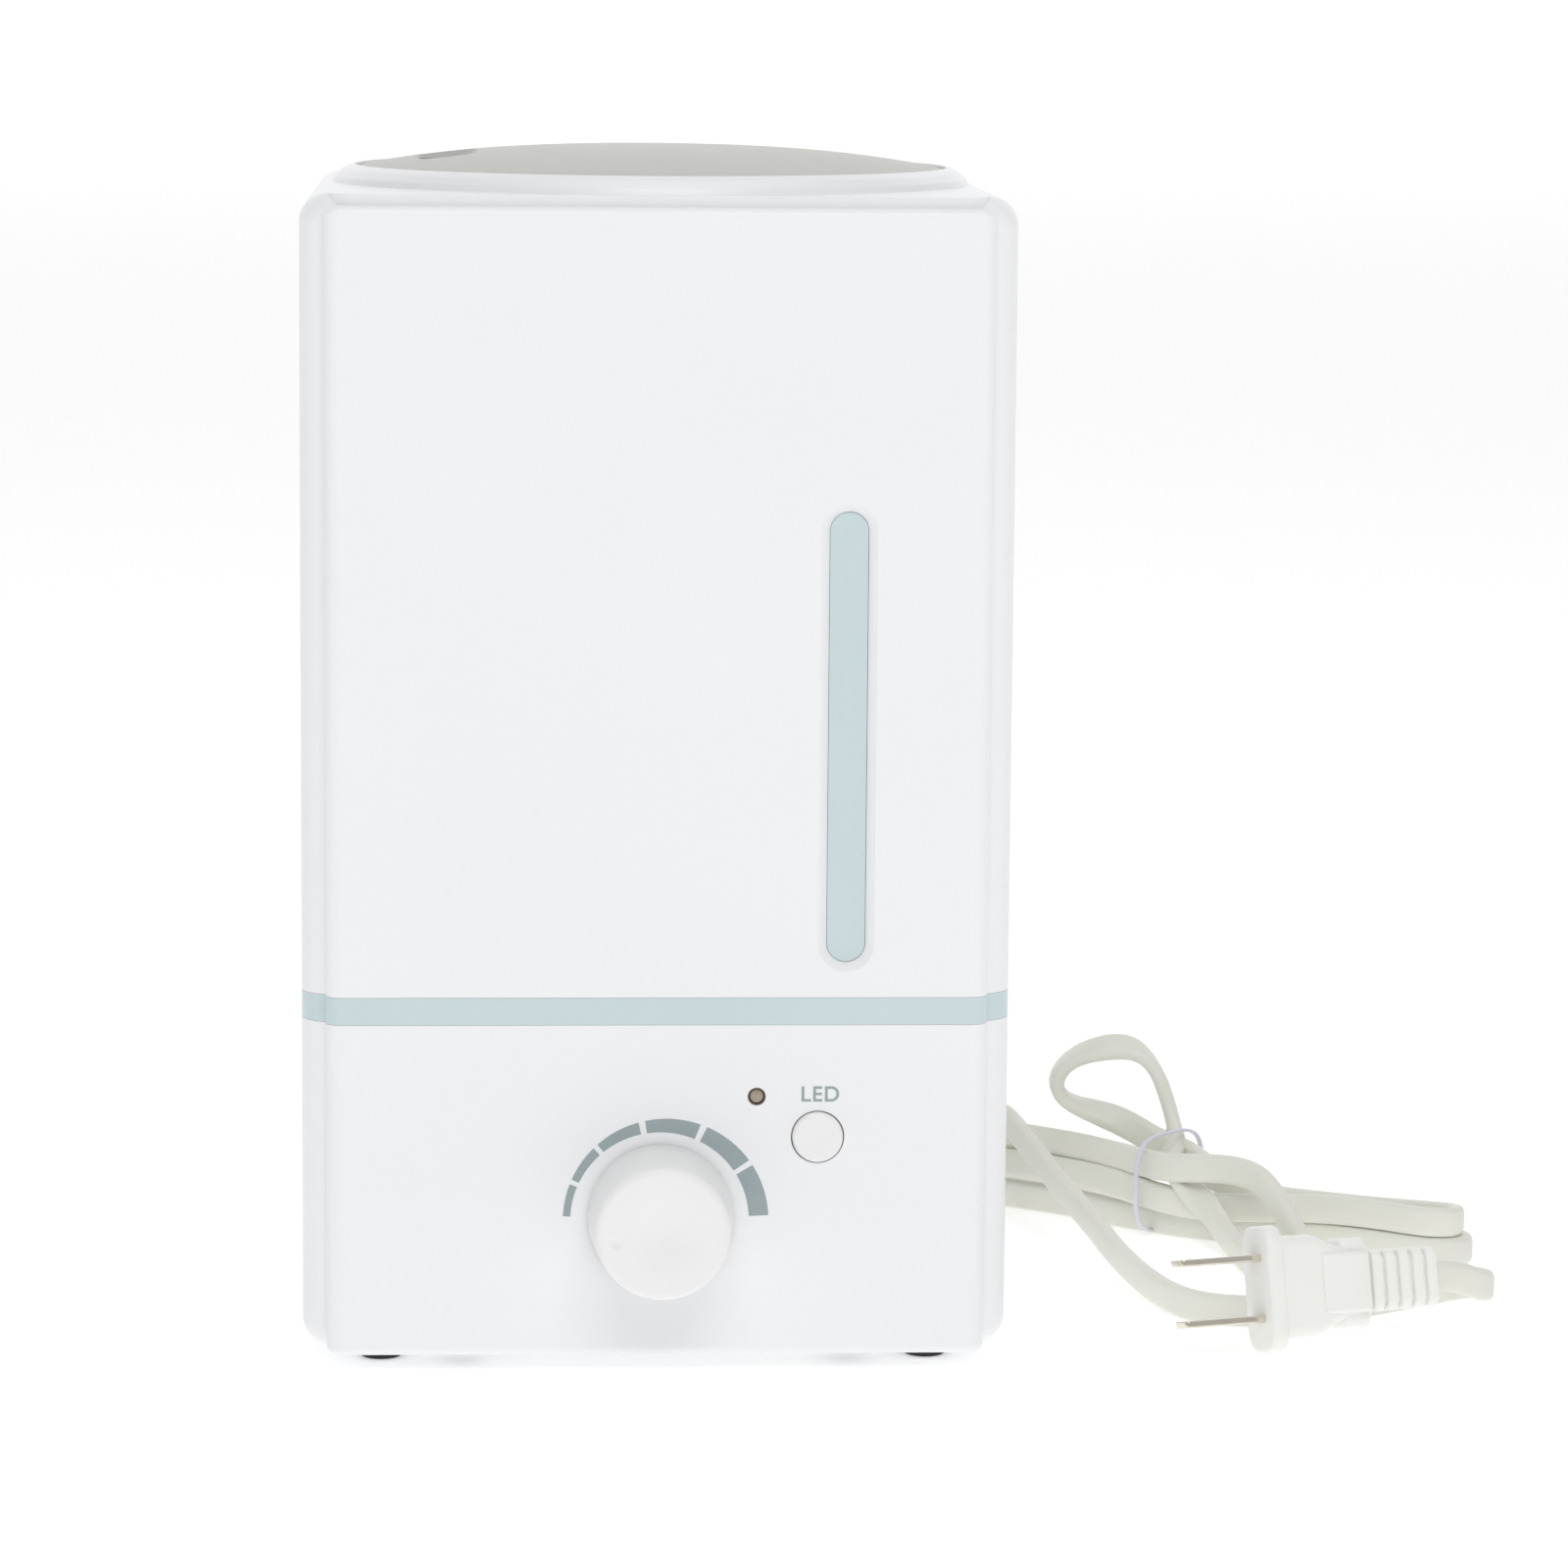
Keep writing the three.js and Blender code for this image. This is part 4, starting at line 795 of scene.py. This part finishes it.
# %% Level window
window = slot_solid(38.3, [
    (FRONT + 1.8, 7.4, 85.7, 177.2), (FRONT + 1.86, 7.75, 85.52, 177.38),
    (FRONT + 2.05, 7.92, 85.44, 177.46), (FRONT + 2.6, 7.92, 85.44, 177.46),
])
backing = slot_solid(38.3, [(FRONT + 2.6, 13, 82.9, 180), (FRONT + 3.8, 13, 82.9, 180)])
window_piece = as_piece(joined([window, backing]), "window_strip", "tank", blue_san,
                        ("level_window",), weighted=True)
print("window faces", len(window_piece.data.polygons))

# %% [markdown]
# Between base and cover the tank's own flange shows as a pale blue band. It is the tank's
# floor: the band, a plate with the filling neck, and a hole for the mist chimney.

# %% Tank floor
band_core, band_panel = stepped(0, BAND_BOTTOM, BAND_TOP)
under_core, under_panel = stepped(WALL, BAND_BOTTOM - 1, BAND_TOP - 2)
neck = moved(rod(22, 14.5), x=24, y=6, z=63.1)
floor_solid = cut(cut(band_core, [band_panel], "UNION"), [under_core, under_panel])
floor_solid = cut(floor_solid, [neck], "UNION")
neck_hole = moved(rod(20, 18), x=24, y=6, z=62)
mist_hole = moved(rod(13.6, 8), x=-38, z=72)
floor_solid = cut(floor_solid, [neck_hole, mist_hole])
tank_floor = as_piece(floor_solid, "tank_band", "tank", blue_san,
                      ("tank_floor",), sharp=30, weighted=True)
print("band faces", len(tank_floor.data.polygons))

# %% [markdown]
# The lid is a shallow dome, turned, with a thin rim and a rounded slot for the mist. The
# slot is cut right through, and a short nozzle wall stands round it under the dome.

# %% Lid
RIM_TOP = LID_SEAT + 0.3 + 1.6
dome = [(LID_RADIUS * (1 - i / 24), RIM_TOP + 4.6 * (1 - (1 - i / 24) ** 2.6))
        for i in range(25)]
inside = [((LID_RADIUS - 6) * i / 12, RIM_TOP - 1.4 + 4.6 * (1 - ((LID_RADIUS - 6) * i / 12
           / LID_RADIUS) ** 2.6)) for i in range(13)]
lid_profile = [*inside, (55.8, DECK_TOP + 0.8), (57.6, DECK_TOP + 0.8), (57.6, LID_SEAT + 0.3),
               (LID_RADIUS - 0.4, LID_SEAT + 0.3), (LID_RADIUS, LID_SEAT + 0.7),
               (LID_RADIUS, RIM_TOP - 0.5), (LID_RADIUS - 0.15, RIM_TOP - 0.15), *dome[1:]]
lid = turned(lid_profile, 128)


def mist_slot(grow, z0, z1, flare=0.0):
    """The slot's prism; flare widens its top."""
    bm = prism(5 + grow, 17 + grow, 4.99 + grow, z0, z1)
    upper = [v for v in bm.verts if v.co.z > (z0 + z1) / 2]
    bmesh.ops.scale(bm, verts=upper, vec=(1 + flare / 5, 1 + flare / 17, 1))
    return moved(bm, x=-44)


lid = cut(lid, [mist_slot(1.2, 241.6, 244.8)], "UNION")
lid = cut(lid, [mist_slot(0, 238, 252), mist_slot(0, 244.9, 247.9, flare=3)])
lid_piece = as_piece(lid, "lid_disc", "lid", grey_abs, ("mist_lid",), sharp=25)
print("lid faces", len(lid_piece.data.polygons))

# %% [markdown]
# The base shell has the same plan. It is rounded underneath, open above where the tank
# sits, and pierced for the dial's shaft, the button, the indicator, the lead and the vents.

# %% Base shell
base_core, base_panel = stepped(0, FOOT, BASE_TOP, bottom=(6.0, 1.8))
shell = cut(base_core, [base_panel], "UNION")
hollow = [*stepped(WALL, 8.4, BASE_TOP + 1), *stepped(8, FOOT - 1, 9.4)]


def front_hole(x, z, radius):
    """A cutter for a round hole through the front panel."""
    bm = rod(radius, 6, 64)
    bmesh.ops.transform(bm, matrix=Matrix.Translation((x, FRONT - 1, z)) @ to_back,
                        verts=bm.verts)
    return bm


holes = [front_hole(0.8, 33.2, 4.2), front_hole(32.8, 49.5, 5.45), front_hole(20.3, 57.9, 1.85)]
lead_hole = rod(5.3, 6, 48)
bmesh.ops.transform(lead_hole, matrix=Matrix.Translation((-30, BACK - 4, 14)) @ to_back,
                    verts=lead_hole.verts)
vents = []
for i in range(7):
    vent = prism(20, 3, 0.01, 0, 2, segments=1)
    vents.append(moved(vent, x=34, y=BACK - 1.5, z=24 + 5 * i))
shell = cut(shell, [*hollow, *holes, lead_hole, *vents])
base_piece = as_piece(shell, "base_shell", "base", white_abs,
                      ("base_housing",), sharp=30, weighted=True)
print("base faces", len(base_piece.data.polygons))

# %% [markdown]
# ## Controls
#
# The dial knob is one turned moulding: a skirt that tapers forward, a well-rounded edge and
# a shallow dish. A small thumb-nail mark is pressed in its face near the rim.

# %% Dial knob
KNOB_X, KNOB_Z, REACH = 0.8, 33.2, 18.0
DEPTH = REACH - 0.6
dish = [(9.2 * i / 14, 1.15 * (1 + math.cos(math.pi * i / 14)) / 2) for i in range(15)]
face = [(9.4 + 0.35 * i, 0.0) for i in range(1, 8)]
knob_profile = [*dish, *face, *rounded((13.6, 0), (9, 0), (13.75, 2), 1.5, 8),
                *rounded((15, DEPTH), (13.7, 2), (12, DEPTH), 0.4, 3),
                (13.2, DEPTH), (11.9, 3.5), (0, 3.5)]
knob = turned(knob_profile, 128)
mark = Vector((9.7 * math.cos(math.radians(191)), -9.7 * math.sin(math.radians(191))))
for v in knob.verts:
    near = (v.co.xy - mark).length
    if near < 1.3 and v.co.z < 1:
        v.co.z += 0.35 * (1 + math.cos(math.pi * near / 1.3))
knob_place = Matrix.Translation((KNOB_X, FRONT - REACH, KNOB_Z)) @ to_back
knob_piece = as_piece(knob, "knob_cap", "knob", trim_abs, ("dial_knob",),
                      sharp=40, matrix=knob_place)
print("knob box", [round(c, 4) for c in knob_piece.bound_box[0]])

# %% Button and indicator
button_profile = [(0, 0.25), (2.6, 0.18), *rounded((5.2, 0), (2.6, 0.18), (5.2, 3), 0.8, 6),
                  (5.2, 5), (0, 5)]
button_place = Matrix.Translation((32.8, FRONT - 1.0, 49.5)) @ to_back
button = as_piece(turned(button_profile, 96), "led_push_button", "button", trim_abs,
                  ("led_button",), matrix=button_place)
lens_profile = [(0, 0.1), (0.7, 0.2), (1.3, 0.4), (1.52, 0.8), (1.52, 3), (0, 3)]
lens_place = Matrix.Translation((20.3, FRONT, 57.9)) @ to_back
lens = as_piece(turned(lens_profile, 48), "indicator_lens", "base", amber_lens,
                ("indicator_light",), matrix=lens_place)
# A dark ring fills the gap between the lens and its hole, as painted shade of the gap.
lens_gap_shade = as_piece(turned([(1.55, 0.15), (1.8, 0.1), (1.8, 2.2), (1.55, 2.2)], 48, True),
                    "indicator_gap_shade", "base", shadow_line, matrix=lens_place)
print("button and indicator placed")

# %% [markdown]
# Six printed bars round the dial grow wider as the mist output rises. Each bar is a radial
# edge spun about the dial's middle. Its outer points are then moved out to the width that
# the bar has there, and the strip gets the small thickness of the ink.

# %% Printed dial bars and label
INNER = 18.25
bars = bmesh.new()
for first, last in ((2.4, 31), (34.2, 63.4), (67.2, 98.4), (102.2, 129.1), (132.2, 154.8),
                    (157.8, 177.6)):
    a = math.radians(first)
    ends = [bars.verts.new((0.6 + r * math.cos(a), FRONT, 32.3 + r * math.sin(a)))
            for r in (INNER, INNER + 1)]
    edge = bars.edges.new(ends)
    bmesh.ops.spin(bars, geom=[*ends, edge], cent=(0.6, FRONT, 32.3), axis=(0, -1, 0),
                   angle=math.radians(last - first), steps=24)
for v in bars.verts:
    arm = Vector((v.co.x - 0.6, v.co.z - 32.3))
    if arm.length > INNER + 0.5:
        arm = arm.normalized() * (INNER + 2.75 + 1.25 * arm.normalized().x)
        v.co.x, v.co.z = 0.6 + arm.x, 32.3 + arm.y
bmesh.ops.recalc_face_normals(bars, faces=bars.faces)
grown = bmesh.ops.extrude_face_region(bars, geom=bars.faces[:])
bmesh.ops.translate(bars, vec=(0, -0.06, 0),
                    verts=[v for v in grown["geom"] if isinstance(v, bmesh.types.BMVert)])
dial_bars = as_piece(bars, "dial_bars", "base", grey_ink)

label = bpy.data.curves.new("label", "FONT")
label.body = "LED"
label.size = 4.45
label.extrude = 0.03
label.offset = 0.06
label.space_character = 1.08
letters = bpy.data.objects.new("label", label)
bpy.context.scene.collection.objects.link(letters)
bpy.context.view_layer.update()
text = bmesh.new()
text.from_mesh(letters.evaluated_get(bpy.context.evaluated_depsgraph_get()).to_mesh())
bpy.data.objects.remove(letters)
upright = Matrix.Rotation(math.radians(90), 4, "X")
xs = [v.co.x for v in text.verts]
label_place = (Matrix.Translation((33.3, FRONT - 0.03, 56.9)) @ upright
               @ Matrix.Translation((-(min(xs) + max(xs)) / 2, 0, 0)))
label_piece = as_piece(text, "light_label", "base", grey_ink,
                       matrix=label_place)
print("label width", round(max(xs) - min(xs), 2), "mm")

# %% [markdown]
# ## Feet and the pieces that keep their CAD shape
#
# The feet are small rubber pads with a rounded edge. Every inner node keeps its own shape and
# gets the finish of its material.

# %% Feet
for label_end, x, y in (("front_left", -56.5, -54.8), ("front_right", 56.5, -54.8),
                        ("back_left", -56.5, 54.8), ("back_right", 56.5, 54.8)):
    pad = turned(soft([(0, 0, 0), (4.3, 0, 0.5), (4.3, 1.9, 0.3), (0, 1.9, 0)]), 48)
    as_piece(pad, "pad_" + label_end, "base", black_rubber,
             ("foot_pad_" + label_end,), matrix=Matrix.Translation((x, y, 0)))
print("feet made")

# %% Finishes of the CAD nodes
node_finishes = {
    white_abs: ["bottom_cover"],
    trim_abs: ["water_basin", "tank_cap", "valve_plunger", "float_clip", "air_duct"],
    blue_san: ["tank_shell", "mist_chimney"],
    silicone: ["cap_seal", "transducer_seal", "level_float"],
    zinc_steel: ["screw_front_left", "screw_front_right", "screw_back_left",
                 "screw_back_right", "valve_spring", "pot_shaft", "pot_nut"],
    satin_aluminium: ["transducer_plate", "heat_sink", "pot_body"],
    silvered_disc: ["transducer_disc"],
    circuit_board: ["control_board", "power_board", "glow_board"],
    black_nylon: ["fan_housing", "fan_impeller", "button_switch", "transformer",
                  "capacitor"],
    amber_lens: ["glow_led_left", "glow_led_right"],
    open_foam: ["intake_filter"],
}
for material, names in node_finishes.items():
    for name in names:
        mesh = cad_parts[name].data
        mesh.materials.clear()
        mesh.materials.append(material)
print("CAD nodes finished", sum(len(names) for names in node_finishes.values()))

# %% [markdown]
# ## Floor and light
#
# A pale floor runs back to a lit white backdrop under an even white surround. One large soft
# light stands above and in front, and a weaker one overhead, so the shells keep a gentle
# change of tone round their corners.

# %% Floor
floor_bm = bmesh.new()
bmesh.ops.create_grid(floor_bm, x_segments=1, y_segments=1, size=12)
floor_mesh = bpy.data.meshes.new("floor")
floor_bm.to_mesh(floor_mesh)
floor_bm.free()
floor = bpy.data.objects.new("floor", floor_mesh)
bpy.context.scene.collection.objects.link(floor)
floor_mesh.materials.append(finish("white studio paper", {
    "Base Color": linear("#f6f6f6"), "Roughness": 0.9, "IOR": 1.4,
    "Specular IOR Level": 0.0, "Emission Color": (1, 1, 1, 1), "Emission Strength": 0.35,
}))

backdrop_bm = bmesh.new()
bmesh.ops.create_grid(backdrop_bm, x_segments=1, y_segments=1, size=12)
bmesh.ops.transform(backdrop_bm, verts=backdrop_bm.verts,
                    matrix=Matrix.Translation((0, 11, 0)) @ Matrix.Rotation(math.pi / 2, 4, "X"))
backdrop_mesh = bpy.data.meshes.new("backdrop")
backdrop_bm.to_mesh(backdrop_mesh)
backdrop_bm.free()
backdrop = bpy.data.objects.new("backdrop", backdrop_mesh)
bpy.context.scene.collection.objects.link(backdrop)
backdrop_mesh.materials.append(finish("lit white backdrop", {
    "Base Color": linear("#f6f6f6"), "Roughness": 0.9, "Specular IOR Level": 0.0,
    "Emission Color": (1, 1, 1, 1), "Emission Strength": 0.6,
}))

# %% Lights
world = bpy.data.worlds.new("studio")
bpy.context.scene.world = world
world.use_nodes = True
background = world.node_tree.nodes["Background"]
background.inputs["Color"].default_value = (1, 1, 1, 1)
background.inputs["Strength"].default_value = 0.5


def softbox(name, place, aim, size, power):
    """A rectangular area light at place that shines at aim."""
    data = bpy.data.lights.new(name, "AREA")
    data.shape = "RECTANGLE"
    data.size, data.size_y = size
    data.energy = power
    light = bpy.data.objects.new(name, data)
    bpy.context.scene.collection.objects.link(light)
    light.location = place
    light.rotation_euler = (Vector(aim) - Vector(place)).to_track_quat("-Z", "Y").to_euler()
    return light


softbox("key", (0.15, -1.7, 1.9), (0.03, 0, 0.1), (1.6, 1.2), 16)
softbox("top", (0.2, 0.1, 2.0), (0.1, 0, 0.1), (1.4, 1.2), 3.5)
bpy.context.scene.view_settings.view_transform = "Standard"
print("lights", len(bpy.data.lights))
